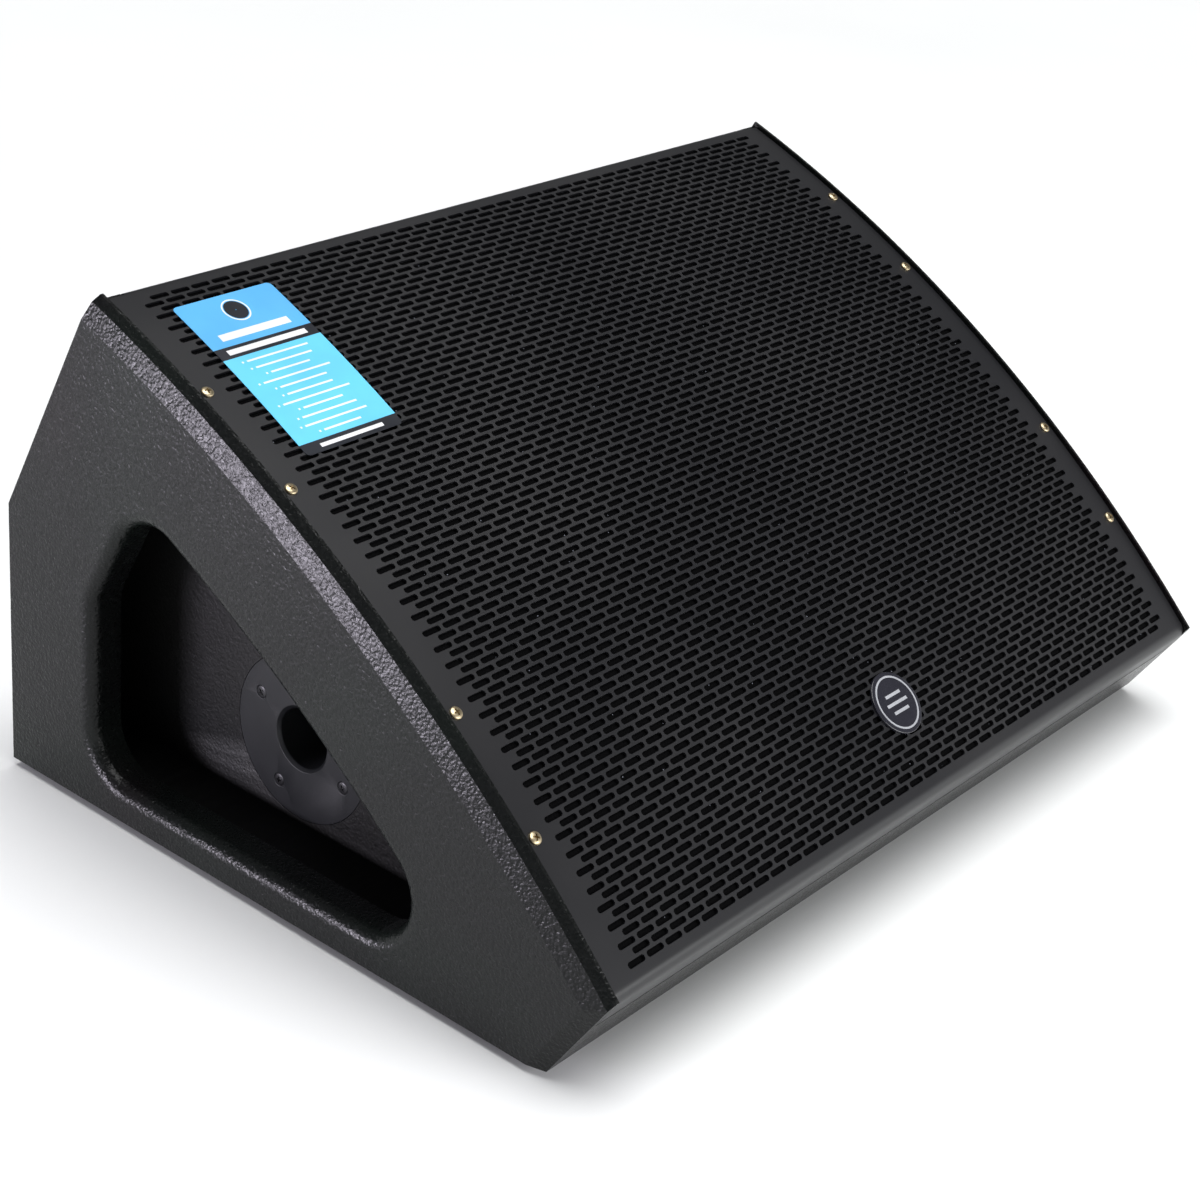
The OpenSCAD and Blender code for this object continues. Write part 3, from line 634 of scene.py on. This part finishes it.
def make_side_panel(side):
    bm = bmesh.new()

    def ring(points, depth):
        x = side * (side_x - depth)
        return [bm.verts.new((x, p.x, p.y)) for p in points]

    def bridge(a, b):
        for i in range(len(a)):
            j = (i + 1) % len(a)
            if len({tuple(v.co) for v in (a[i], a[j], b[j], b[i])}) > 2:
                bm.faces.new((a[i], a[j], b[j], b[i]))

    steps = [("face", 0), ("edge", bevel_d), ("full", bevel_d + crown), ("full", lip_w),
             ("behind", lip_w), ("behind", side_t)]
    rings = [ring(panel_ring(kind), depth) for kind, depth in steps]
    for a, b in zip(rings, rings[1:]):
        bridge(a, b)
    turns = 12
    holes = []
    for i in range(turns + 1):
        t = math.pi / 2 * i / turns
        holes.append(ring(opening_ring(open_round * (1 - math.sin(t))), open_round * (1 - math.cos(t))))
    holes.append(ring(opening_ring(0), side_t))
    for a, b in zip(holes, holes[1:]):
        bridge(a, b)
    bmesh.ops.remove_doubles(bm, verts=bm.verts, dist=1e-6)
    for depth in (0, side_t):
        x = side * (side_x - depth)
        edges = [e for e in bm.edges if len(e.link_faces) == 1
                 and all(abs(v.co.x - x) < 1e-6 for v in e.verts)]
        bmesh.ops.triangle_fill(bm, use_beauty=True, edges=edges)
    name = "side_panel_left" if side < 0 else "side_panel_right"
    obj = from_bmesh(name + "_coated", bm, looks["panel_coat"])
    add_bevel(obj, 0.9 * MM, 3)
    return finish_piece(obj, "cabinet", 10, (name,))


for side in (-1, 1):
    make_side_panel(side)

# ---- grille ----
pitch, row_pitch = 14.61 * MM, 4.946 * MM
slot_l, slot_w = 12.5 * MM, 3.35 * MM
rows, per_row = 88, 37
field_top = 214 * MM + row_pitch / 2
field_left = -(per_row + 0.5) * pitch / 2
nose_bend, top_bend = 7 * MM, 3 * MM
fold_h = 12 * MM


def fillet(line, direction, inward, radius):
    """Centre of a bend that joins the grille's arc to a straight line."""
    return on_circle(grille_r - radius, line + inward * radius, direction)


def grille_path():
    """Stations past each end of the slots, as (point, normal): the fold above, the return below."""
    top = fillet(shoulder, slope, slope_in, top_bend)
    low = fillet(toe, kick, kick_in, nose_bend)
    top_a, low_a = (angle_of(c - front_c) for c in (top, low))
    fold_a, under_a = angle_of(-slope_in), angle_of(-kick_in)
    first, last = front_angle(field_top), front_angle(field_top - rows * row_pitch)
    steps = 4

    def arc(centre, radius, a, b, count):
        return [(centre + turned(a + (b - a) * i / count) * radius, turned(a + (b - a) * i / count))
                for i in range(1, count + 1)]

    above = arc(front_c, grille_r, first, top_a, steps) + arc(top, top_bend, top_a, fold_a, 6)
    edge = above[-1][0]
    above += [(edge - slope * fold_h * i / 2, -slope_in) for i in (1, 2)]
    below = arc(front_c, grille_r, last, low_a, steps) + arc(low, nose_bend, low_a, under_a, 12)
    edge = below[-1][0]
    drop = (edge.y - foot - kick_top - 2 * MM) / kick.y
    below += [(edge - kick * drop * i / 3, -kick_in) for i in (1, 2, 3)]
    return above, below, steps + 6


above, below, fold_start = grille_path()
stations = {}
for k, pair in enumerate(above):
    stations[round((1 + k) * 1e6)] = pair
for k, pair in enumerate(below):
    stations[round((-1 - k) * 1e6)] = pair


def grille_place(v):
    """Point and normal at v: a distance up the grille, or a station's number beyond its slots."""
    key = round(v * 1e6)
    if key in stations:
        return stations[key]
    n = turned(front_angle(v))
    return front_c + n * grille_r, n


def make_grille():
    sheet = Sheet(grille_place, sheet_t)
    half, tall = slot_l / 2, slot_w / 2
    ease = 1.05 * MM
    columns = [field_left + i * pitch / 2 for i in range(2 * per_row + 2)]
    edges_u = [-grille_x, -core_x + 0.3 * MM]
    all_u = edges_u + columns + [-u for u in reversed(edges_u)]
    shoulder_v = tall - ease * 0.8
    hole = [(half - ease, -tall), (half, -shoulder_v), (half, shoulder_v), (half - ease, tall),
            (0, tall), (ease - half, tall), (-half, shoulder_v), (-half, -shoulder_v),
            (ease - half, -tall), (0, -tall)]
    for row in range(rows):
        v1 = field_top - row * row_pitch
        v0, vm = v1 - row_pitch, v1 - row_pitch / 2
        start = field_left + (pitch / 2 if row % 2 == 0 else 0)
        h, r = pitch / 2, row_pitch / 2
        for k in range(per_row):
            c = start + (k + 0.5) * pitch
            q = [(c + x, vm + y) for x, y in hole]
            rb, rm, rt, tm = (c + h, v0), (c + h, vm), (c + h, v1), (c, v1)
            lt, lm, lb, bm_ = (c - h, v1), (c - h, vm), (c - h, v0), (c, v0)
            for corners in ((bm_, rb, q[0], q[9]), (rb, q[1], q[0]), (rb, rm, q[1]), (rm, q[2], q[1]),
                            (rm, rt, q[2]), (rt, q[3], q[2]), (rt, tm, q[4], q[3]), (tm, lt, q[5], q[4]),
                            (lt, q[6], q[5]), (lt, lm, q[6]), (lm, q[7], q[6]), (lm, lb, q[7]),
                            (lb, q[8], q[7]), (lb, bm_, q[9], q[8])):
                sheet.face(corners)
        # the plain strips beside this row
        end = start + per_row * pitch
        for a, b, flip in ((edges_u[1], start, 1), (-edges_u[1], end, -1)):
            between = [u for u in columns if min(a, b) + 1e-6 < u < max(a, b) - 1e-6]
            between.sort(reverse=flip < 0)
            poly = [(a, v0)] + [(u, v0) for u in between] + [(b, v0), (b, vm), (b, v1)]
            poly += [(u, v1) for u in reversed(between)] + [(a, v1)]
            sheet.face(poly if flip > 0 else poly[::-1])
        for a, b in ((edges_u[0], edges_u[1]), (-edges_u[1], -edges_u[0])):
            sheet.face([(a, v0), (b, v0), (b, v1), (a, v1)])

    def strips(levels, up, narrow_from=None):
        for i, (a, b) in enumerate(zip(levels, levels[1:])):
            us = all_u if narrow_from is None or i < narrow_from else all_u[1:-1]
            for x0, x1 in zip(us, us[1:]):
                quad = [(x0, a), (x1, a), (x1, b), (x0, b)]
                sheet.face(quad if up else quad[::-1])

    strips([field_top] + [1.0 + k for k in range(len(above))], True, fold_start - 6)
    strips([field_top - rows * row_pitch] + [-1.0 - k for k in range(len(below))], False)
    obj = new_object("grille_sheet", sheet.mesh("grille_sheet"), looks["grille_paint"])
    return finish_piece(obj, "cabinet", 28, ("grille",))


make_grille()


def make_foam_sheet():
    """Thin open-cell foam held just behind the perforated sheet."""
    low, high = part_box("grille_foam")
    gap, thick, margin = 0.3 * MM, 4 * MM, 7 * MM
    foam_r = grille_r - sheet_t - gap
    reach = math.asin((chord / 2 - margin) / foam_r) * grille_r
    sheet = Sheet(lambda v: (front_c + turned(front_angle(v)) * foam_r, turned(front_angle(v))), thick)
    across, up = 60, 48
    us = [low.x + (high.x - low.x) * i / across for i in range(across + 1)]
    vs = [-reach - grille_up + 2 * reach * i / up for i in range(up + 1)]
    for v0, v1 in zip(vs, vs[1:]):
        for u0, u1 in zip(us, us[1:]):
            sheet.face([(u0, v0), (u1, v0), (u1, v1), (u0, v1)])
    obj = new_object("grille_foam_sheet", sheet.mesh("grille_foam_sheet"), make_foam())
    finish_piece(obj, "cabinet", 40, ("grille_foam",))
    return obj


make_foam_sheet()

# ---- grille screws ----
gold = brushed("zinc_yellow", (0.52, 0.43, 0.28), 0.36).material


def screw_mesh(name, radius, height, sides=40):
    """Raised head with a cross recess."""
    dome = [(radius * math.cos(a), height * (0.35 + 0.65 * math.sin(a)))
            for a in (math.pi / 2 * i / 9 for i in range(10))]
    profile = [(radius * 0.98, -0.2 * MM), (radius, height * 0.2)] + dome[:-1] + [(radius * 0.02, height)]
    cutter = cross_cutter(radius * 0.64, radius * 0.15, height * 0.05, height * 1.3)
    return carve(name, lathe(profile, sides), cutter)


screw_steps = (-142 * MM, -71 * MM, 71 * MM, 142 * MM)
screw_x = 284.5 * MM
places = [on_front(x, s) @ Matrix.Rotation(0.6 * i + 2.1 * x / screw_x, 4, "Z")
          for i, s in enumerate(screw_steps) for x in (-screw_x, screw_x)]
screws = copies("grille_screw_heads", screw_mesh("screw", 3.6 * MM, 1.9 * MM), places, gold)
finish_piece(screws, "cabinet", 40, ("grille_screws",))

# ---- badge: a plain round plate with a silver rim and three bars ----
badge_r = 18.5 * MM
silver = plain("badge_silver", (0.40, 0.41, 0.44), 0.34, 0.35).material


def make_badge():
    place = on_front(0, -174 * MM)
    plate = lathe([(badge_r, 0)] + rounded(badge_r, 0.2 * MM, 1.6 * MM, 0.5 * MM)
                  + [(badge_r - 3 * MM, 1.7 * MM), (badge_r / 2, 1.8 * MM), (0.2 * MM, 1.85 * MM)], 96)
    plate.transform(place)
    obj = from_bmesh("badge_plate", plate, looks["badge_plastic"])
    finish_piece(obj, "cabinet", 35, ("badge",))
    bm = bmesh.new()
    r0, r1, z0, z1 = badge_r - 3.6 * MM, badge_r - 2.5 * MM, 1.5 * MM, 1.95 * MM
    count = 96
    rings = [[bm.verts.new((r * math.cos(a), r * math.sin(a), z)) for a in
              (2 * math.pi * i / count for i in range(count))] for r, z in
             ((r0, z0), (r0, z1), (r1, z1), (r1, z0))]
    for a, b in zip(rings, rings[1:] + rings[:1]):
        for i in range(count):
            j = (i + 1) % count
            bm.faces.new((a[i], a[j], b[j], b[i]))
    for y, half in ((5 * MM, 7 * MM), (0, 9.5 * MM), (-5 * MM, 7 * MM)):
        box_into(bm, (-half, y - 0.9 * MM, z0), (half, y + 0.9 * MM, z1))
    bm.transform(place)
    rim = from_bmesh("badge_rim", bm, silver)
    return finish_piece(rim, "cabinet", 35, ())


make_badge()

# ---- printed label: coloured fields with plain bars where print would be ----
label_w, label_h, label_r = 71 * MM, 117 * MM, 3 * MM
label_x, label_s = -225 * MM, 144 * MM


def print_look(name, colour):
    """Smooth printed film or paint with a thin gloss."""
    p = Paint(name, colour, 0.34)
    p.tint(p.noise(25, 4), scaled(colour, 0.86), 0.4, 0.8)
    p.vary_rough(p.noise(60, 3), 0.05)
    p.bump(p.noise(140, 2), 0.03 * MM)
    p.set("Coat Weight", 0.35)
    return p.material


def make_label():
    sky = print_look("label_sky", (0.10, 0.43, 0.82))
    blue = print_look("label_blue", (0.13, 0.58, 0.90))
    dark = print_look("label_dark", (0.006, 0.008, 0.014))
    white = print_look("label_white", (0.80, 0.82, 0.84))
    top, bottom = label_s + label_h / 2, label_s - label_h / 2

    def place(lift):
        def at(v):
            n = turned(front_angle(v))
            return front_c + n * (grille_r + lift), n
        return at

    film = Sheet(place(0.30 * MM), 0.25 * MM)
    bands = [(bottom, 2), (bottom + 7.5 * MM, 1), (top - 44.6 * MM, 2), (top - 36.3 * MM, 0), (top, 0)]
    levels = {top, bottom}
    levels.update(v for v, _ in bands)
    for i in range(7):
        levels.update({bottom + label_r * (1 - math.cos(math.pi / 12 * i)),
                       top - label_r * (1 - math.cos(math.pi / 12 * i))})
    levels.update(bottom + label_h * i / 40 for i in range(41))
    levels = sorted(levels)

    def half_width(v):
        d = max(0.0, label_r - min(v - bottom, top - v))
        return label_w / 2 - label_r + math.sqrt(max(0.0, label_r**2 - d * d))

    for v0, v1 in zip(levels, levels[1:]):
        if v1 - v0 < 1e-6:
            continue
        mid = (v0 + v1) / 2
        tone = [t for v, t in bands if v <= mid][-1]
        a, b = half_width(v0), half_width(v1)
        film.face([(label_x - a, v0), (label_x + a, v0), (label_x + b, v1), (label_x - b, v1)], tone)
    obj = new_object("info_label_film", film.mesh("info_label_film"), sky, blue, dark)
    finish_piece(obj, "cabinet", 30, ("info_label",))

    ink = Sheet(place(0.34 * MM), 0.05 * MM)

    def bar(centre, width, middle, height, tone):
        parts = max(1, round(height / (2 * MM)))
        for i in range(parts):
            v0 = middle - height / 2 + height * i / parts
            v1 = v0 + height / parts
            u0, u1 = label_x + centre - width / 2, label_x + centre + width / 2
            ink.face([(u0, v0), (u1, v0), (u1, v1), (u0, v1)], tone)

    def disc(r_in, r_out, middle, tone):
        count = 40
        for i in range(count):
            a, b = (2 * math.pi * k / count for k in (i, i + 1))
            ring = [(r_in, a), (r_out, a), (r_out, b), (r_in, b)]
            ink.face([(label_x + r * math.cos(t), middle + r * math.sin(t)) for r, t in ring], tone)

    disc(0.3 * MM, 7.2 * MM, top - 13 * MM, 1)
    disc(7.7 * MM, 8.6 * MM, top - 13 * MM, 0)
    bar(0, 50 * MM, top - 29.5 * MM, 5.0 * MM, 0)
    bar(0, 57 * MM, top - 40.4 * MM, 3.6 * MM, 0)
    lines = 11
    first, last = top - 49 * MM, bottom + 12 * MM
    for i in range(lines):
        middle = first + (last - first) * i / (lines - 1)
        bar(0, (38 + 11 * math.sin(2.3 * i + 0.6)) * MM, middle, 1.2 * MM, 0)
        bar(-(22 + 5.5 * math.sin(2.3 * i + 0.6)) * MM, 1.2 * MM, middle, 1.2 * MM, 0)
    bar(0, 46 * MM, bottom + 3.7 * MM, 2.4 * MM, 0)
    obj = new_object("info_label_print", ink.mesh("info_label_print"), white, dark)
    return finish_piece(obj, "cabinet", 30, ())


make_label()

# ---- pole socket ----
pole_low, pole_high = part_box("pole_socket")
pole_y, pole_z = (pole_low.y + pole_high.y) / 2, (pole_low.z + pole_high.z) / 2
soften("pole_socket", 0.5 * MM, 30)
black_head = plain("black_oxide_head", (0.022, 0.022, 0.024), 0.38, 0.5).material
turn, ring_r = math.radians(27), 36.5 * MM
places = []
for k in range(4):
    a = turn + k * math.pi / 2
    # the CAD's socket frame has its local X pointing down and its local Y along +Y
    spot = Vector((pole_low.x + 0.9 * MM, pole_y + ring_r * math.sin(a), pole_z - ring_r * math.cos(a)))
    places.append(Matrix.Translation(spot) @ Matrix.Rotation(-math.pi / 2, 4, "Y")
                  @ Matrix.Rotation(0.7 * k, 4, "Z"))
heads = copies("pole_socket_screw_heads", screw_mesh("pole_screw", 3.7 * MM, 1.1 * MM), places, black_head)
finish_piece(heads, "cabinet", 40, ("pole_socket_screws",))

# ---- boards and the rear plate ----
# painted shade: the kick panel's top edge, under the grille's return, takes the duller black so the gap
# between them reads as a dark line
paint_shade_facing(soften("kick_panel", 0.4 * MM), Vector((0, kick.x, kick.y)), looks["board_paint"])
for node, width in (("top_panel", 0.8), ("rear_panel", 1.2), ("bottom_panel", 0.8),
                    ("feet", 0.6), ("amp_plate", 0.4), ("heatsink", 0.3), ("mains_inlet", 0.3),
                    ("fuse_holder", 0.35), ("rocker_frame", 0.4), ("power_rocker", 0.4),
                    ("input_socket", 0.3), ("link_socket", 0.3), ("input_latch", 0.3),
                    ("lift_button", 0.5), ("pocket_wall_left", 0.3), ("pocket_wall_right", 0.3)):
    soften(node, width * MM)


def amp_place(x, z):
    """Matrix whose Z points out of the rear, at a height above the middle of the plate."""
    low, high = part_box("amp_plate")
    return (Matrix.Translation((x, high.y, (low.z + high.z) / 2 + z))
            @ Matrix.Rotation(-math.pi / 2, 4, "X"))


def make_knob(node):
    low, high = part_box(node)
    radius, depth = (high.x - low.x) / 2, high.y - low.y
    flutes = 18

    def wave(a, z):
        rib = max(0.0, math.cos(flutes * a)) ** 2
        return 1 - (0.07 * rib if 2.2 * MM < z < depth - 0.6 * MM else 0)

    profile = ([(radius - 0.2 * MM, 0)] + rounded(radius, 0.3 * MM, 2 * MM, 0.4 * MM, 3)
               + [(radius - 1.2 * MM, 2.3 * MM), (radius - 1.6 * MM, depth - 0.9 * MM)]
               + rounded(radius - 1.7 * MM, depth - 0.7 * MM, depth, 0.7 * MM, 4)
               + [(radius * 0.5, depth - 0.15 * MM), (0.2 * MM, depth - 0.25 * MM)])
    spot = Matrix.Translation(((low.x + high.x) / 2, low.y, (low.z + high.z) / 2)) @ Matrix.Rotation(
        -math.pi / 2, 4, "X")
    bm = lathe(profile, 144, wave)
    bm.transform(spot)
    obj = from_bmesh(node + "_cap", bm, looks["knob_plastic"])
    finish_piece(obj, body_of[node], 35, (node,))
    bm = bmesh.new()
    half = 0.5 * MM
    box_into(bm, (-half, -radius + 1.9 * MM, depth - half), (half, -radius * 0.35, depth + 0.1 * MM))
    bm.transform(spot)
    mark = from_bmesh(node + "_mark", bm, button_white)
    add_bevel(mark, 0.15 * MM)
    finish_piece(mark, body_of[node], 35, ())


button_white = print_look("mark_white", (0.62, 0.62, 0.60))
for node in ("level_knob", "bass_knob", "treble_knob"):
    make_knob(node)


def make_dial_marks():
    """Tick marks printed round each knob, and thin frames round the groups of controls."""
    bm = bmesh.new()
    low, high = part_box("amp_plate")
    lift = 0.06 * MM
    for node in ("level_knob", "bass_knob", "treble_knob"):
        a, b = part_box(node)
        centre = Matrix.Translation(((a.x + b.x) / 2, high.y, (a.z + b.z) / 2)) @ Matrix.Rotation(
            -math.pi / 2, 4, "X")
        for k in range(11):
            reach = (11 if k % 5 == 0 else 10) * MM
            made = box_into(bm, (-0.22 * MM, 8.6 * MM, 0), (0.22 * MM, reach, lift))
            turn = Matrix.Rotation(math.radians(30 * k - 150), 4, "Z") @ Matrix.Rotation(math.pi, 4, "Z")
            for v in made:
                v.co = centre @ turn @ v.co
    groups = (((70, 158), (6, 58)), ((70, 158), (-20, 4)), ((-160, -76), (-46, 44)))
    line = 0.25 * MM
    for (x0, x1), (z0, z1) in groups:
        for (xa, za), (xb, zb) in (((x0, z0), (x1, z0)), ((x0, z1), (x1, z1)),
                                   ((x0, z0), (x0, z1)), ((x1, z0), (x1, z1))):
            made = box_into(bm, (xa * MM - line, -zb * MM - line, 0),
                            (xb * MM + line, -za * MM + line, lift))
            for v in made:
                v.co = amp_place(0, 0) @ v.co
    obj = from_bmesh("amp_plate_marks", bm, button_white)
    return finish_piece(obj, "cabinet", 35, ())


make_dial_marks()
plate_screws = screw_mesh("amp_screw", 3 * MM, 1.8 * MM)
low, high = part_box("amp_screws")
span_x, span_z = high.x - 3 * MM, (high.z - low.z) / 2 - 3 * MM
places = [amp_place(x, z) @ Matrix.Rotation(1.3 * i, 4, "Z") for i, (x, z) in enumerate(
    [(span_x * k, z) for k in (-1, -1 / 3, 1 / 3, 1) for z in (-span_z, span_z)]
    + [(-span_x, 0), (span_x, 0)])]
heads = copies("amp_screw_heads", plate_screws, places, black_head)
finish_piece(heads, "cabinet", 40, ("amp_screws",))


# ---- soft pieces of the driver ----
driver_up, baffle_front, frame_t = 5 * MM, -14 * MM, 5 * MM
driver = (Matrix.Translation((0, *((apex + nose) / 2))) @ Matrix.Rotation(tilt, 4, "X")
          @ Matrix.Translation((0, driver_up, 0)))


def flexible_ring(node, profile, inner, outer):
    """A ring that bends between the cabinet at its rim and the cone at its neck."""
    bm = lathe(profile, 96)
    bmesh.ops.delete(bm, geom=[f for f in bm.faces if len(f.verts) > 4], context="FACES_ONLY")
    bmesh.ops.solidify(bm, geom=bm.faces, thickness=0.8 * MM)
    flat = [math.hypot(v.co.x, v.co.y) for v in bm.verts]
    bm.transform(driver)
    mesh = bpy.data.meshes.new(node + "_flexing")
    bm.to_mesh(mesh)
    bm.free()
    obj = new_object(node + "_flexing", mesh, looks[slot_of[node]])
    for p in mesh.polygons:
        p.use_smooth = True
    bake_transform(obj, "cabinet", "cone", driver @ Vector((outer, 0, 0)), driver @ Vector((inner, 0, 0)))
    share = [min(1.0, max(0.0, (outer - r) / (outer - inner))) for r in flat]
    mesh.attributes["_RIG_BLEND"].data.foreach_set("value", [t * t * (3 - 2 * t) for t in share])
    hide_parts(node)
    return obj


roll_mid, roll_r = 166 * MM, 7.6 * MM
roll_z = baffle_front + frame_t + 0.6 * MM
roll = [(roll_mid + roll_r * math.cos(a), roll_z + roll_r * 0.9 * math.sin(a))
        for a in (math.pi * i / 14 for i in range(15))]
flexible_ring("woofer_surround", roll, roll_mid - roll_r, roll_mid + roll_r)
spider_z, spider_in, spider_out = -88 * MM, 52.4 * MM, 86 * MM
wave_h, wave_steps = 1.6 * MM, 48
waves = [(spider_in + (spider_out - spider_in) * i / wave_steps,
          spider_z + wave_h * math.sin(2 * math.pi * i / 8)) for i in range(wave_steps + 1)]
flexible_ring("woofer_spider", waves, spider_in, spider_out)


def make_felt():
    """Wadding with a crowned, slightly uneven face in place of each plain slab."""
    mesh = frame["nodes"]["damping_felt"].data.copy()
    mesh.materials.clear()
    bm = bmesh.new()
    bm.from_mesh(mesh)
    bmesh.ops.remove_doubles(bm, verts=bm.verts, dist=2e-6)
    bmesh.ops.dissolve_limit(bm, angle_limit=0.01, verts=bm.verts, edges=bm.edges)
    bmesh.ops.subdivide_edges(bm, edges=bm.edges, cuts=14, use_grid_fill=True)
    bmesh.ops.recalc_face_normals(bm, faces=bm.faces)
    bm.normal_update()
    for v in bm.verts:
        ripple = 0.5 + 0.5 * math.sin(90 * v.co.x + 1.7) * math.sin(110 * v.co.y + 2.3 * v.co.z)
        v.co -= v.normal * (0.3 + 1.1 * ripple) * MM
    bm.to_mesh(mesh)
    bm.free()
    obj = new_object("damping_felt_pads", mesh, looks["felt"])
    finish_piece(obj, "cabinet", 60, ("damping_felt",))
    return obj


make_felt()

# ---- floor, light and camera ----


def make_floor():
    mesh = bpy.data.meshes.new("floor")
    reach = 40
    mesh.from_pydata([(-reach, -reach, 0), (reach, -reach, 0), (reach, reach, 0), (-reach, reach, 0)], [],
                     [(0, 1, 2, 3)])
    p = Paint("floor_pale", (0.86, 0.87, 0.87), 0.55)
    p.tint(p.noise(1.5, 4), (0.89, 0.90, 0.90))
    floor = new_object("floor", mesh, p.material)
    floor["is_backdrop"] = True


def add_area(name, place, aim, size, power, colour=(1, 1, 1)):
    data = bpy.data.lights.new(name, "AREA")
    data.shape, data.size, data.size_y = "RECTANGLE", size[0], size[1]
    data.energy, data.color = power, colour
    obj = bpy.data.objects.new(name, data)
    bpy.context.scene.collection.objects.link(obj)
    obj.location = place
    obj.rotation_mode = "QUATERNION"
    obj.rotation_quaternion = (Vector(aim) - Vector(place)).to_track_quat("-Z", "Y")
    obj.visible_camera = False
    return obj


def add_sun(name, source, power, softness):
    """Broad even light from one direction, so that the floor is lit alike everywhere."""
    data = bpy.data.lights.new(name, "SUN")
    data.energy, data.angle = power, math.radians(softness)
    obj = bpy.data.objects.new(name, data)
    bpy.context.scene.collection.objects.link(obj)
    obj.rotation_mode = "QUATERNION"
    obj.rotation_quaternion = Vector(source).to_track_quat("Z", "Y")
    return obj


make_floor()
add_sun("sky_panel", (0.08, -0.10, 0.99), 3.1, 50)
add_area("side_softbox", (-1.62, 0.66, 0.15), (-0.3, 0, 0.2), (0.55, 0.24), 22, (0.92, 0.86, 1.0))
add_area("front_fill", (0.5, -2.6, 0.7), (0.1, -0.35, 0), (2.4, 1.0), 44)


def make_world():
    """Pale studio walls that darken towards the ceiling."""
    world = bpy.data.worlds.new("studio")
    bpy.context.scene.world = world
    world.use_nodes = True
    nodes, links = world.node_tree.nodes, world.node_tree.links
    coords = nodes.new("ShaderNodeTexCoord")
    split = nodes.new("ShaderNodeSeparateXYZ")
    fade = nodes.new("ShaderNodeMapRange")
    for i, number in enumerate((0.02, 0.36, 1.0, 0.16)):
        fade.inputs[1 + i].default_value = number
    links.new(coords.outputs["Generated"], split.inputs[0])
    links.new(split.outputs["Z"], fade.inputs[0])
    links.new(fade.outputs[0], nodes["Background"].inputs["Strength"])
    nodes["Background"].inputs["Color"].default_value = (0.97, 0.98, 1.0, 1)


make_world()
bpy.context.scene.view_settings.view_transform = "Standard"


def add_camera():
    """The photograph's camera: its place and turn, with the shift that its framing needs."""
    data = bpy.data.cameras.new("camera")
    data.sensor_width, data.lens = 36, 71.02
    data.shift_x, data.shift_y = 0.1280, -0.1031
    data.clip_start, data.clip_end = 0.05, 200
    cam = bpy.data.objects.new("camera", data)
    bpy.context.scene.collection.objects.link(cam)
    azimuth, elevation, roll_angle = (math.radians(d) for d in (-48.789, 23.243, 3.399))
    back = Vector((math.sin(azimuth) * math.cos(elevation), -math.cos(azimuth) * math.cos(elevation),
                   math.sin(elevation)))
    right = Vector((0, 0, 1)).cross(back).normalized()
    up = back.cross(right)
    c, s = math.cos(roll_angle), math.sin(roll_angle)
    turn = Matrix((right * c + up * s, up * c - right * s, back)).transposed()
    cam.matrix_world = Matrix.Translation((-1.050052, -0.759953, 0.721576)) @ turn.to_4x4()
    bpy.context.scene.camera = cam


add_camera()

low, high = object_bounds()
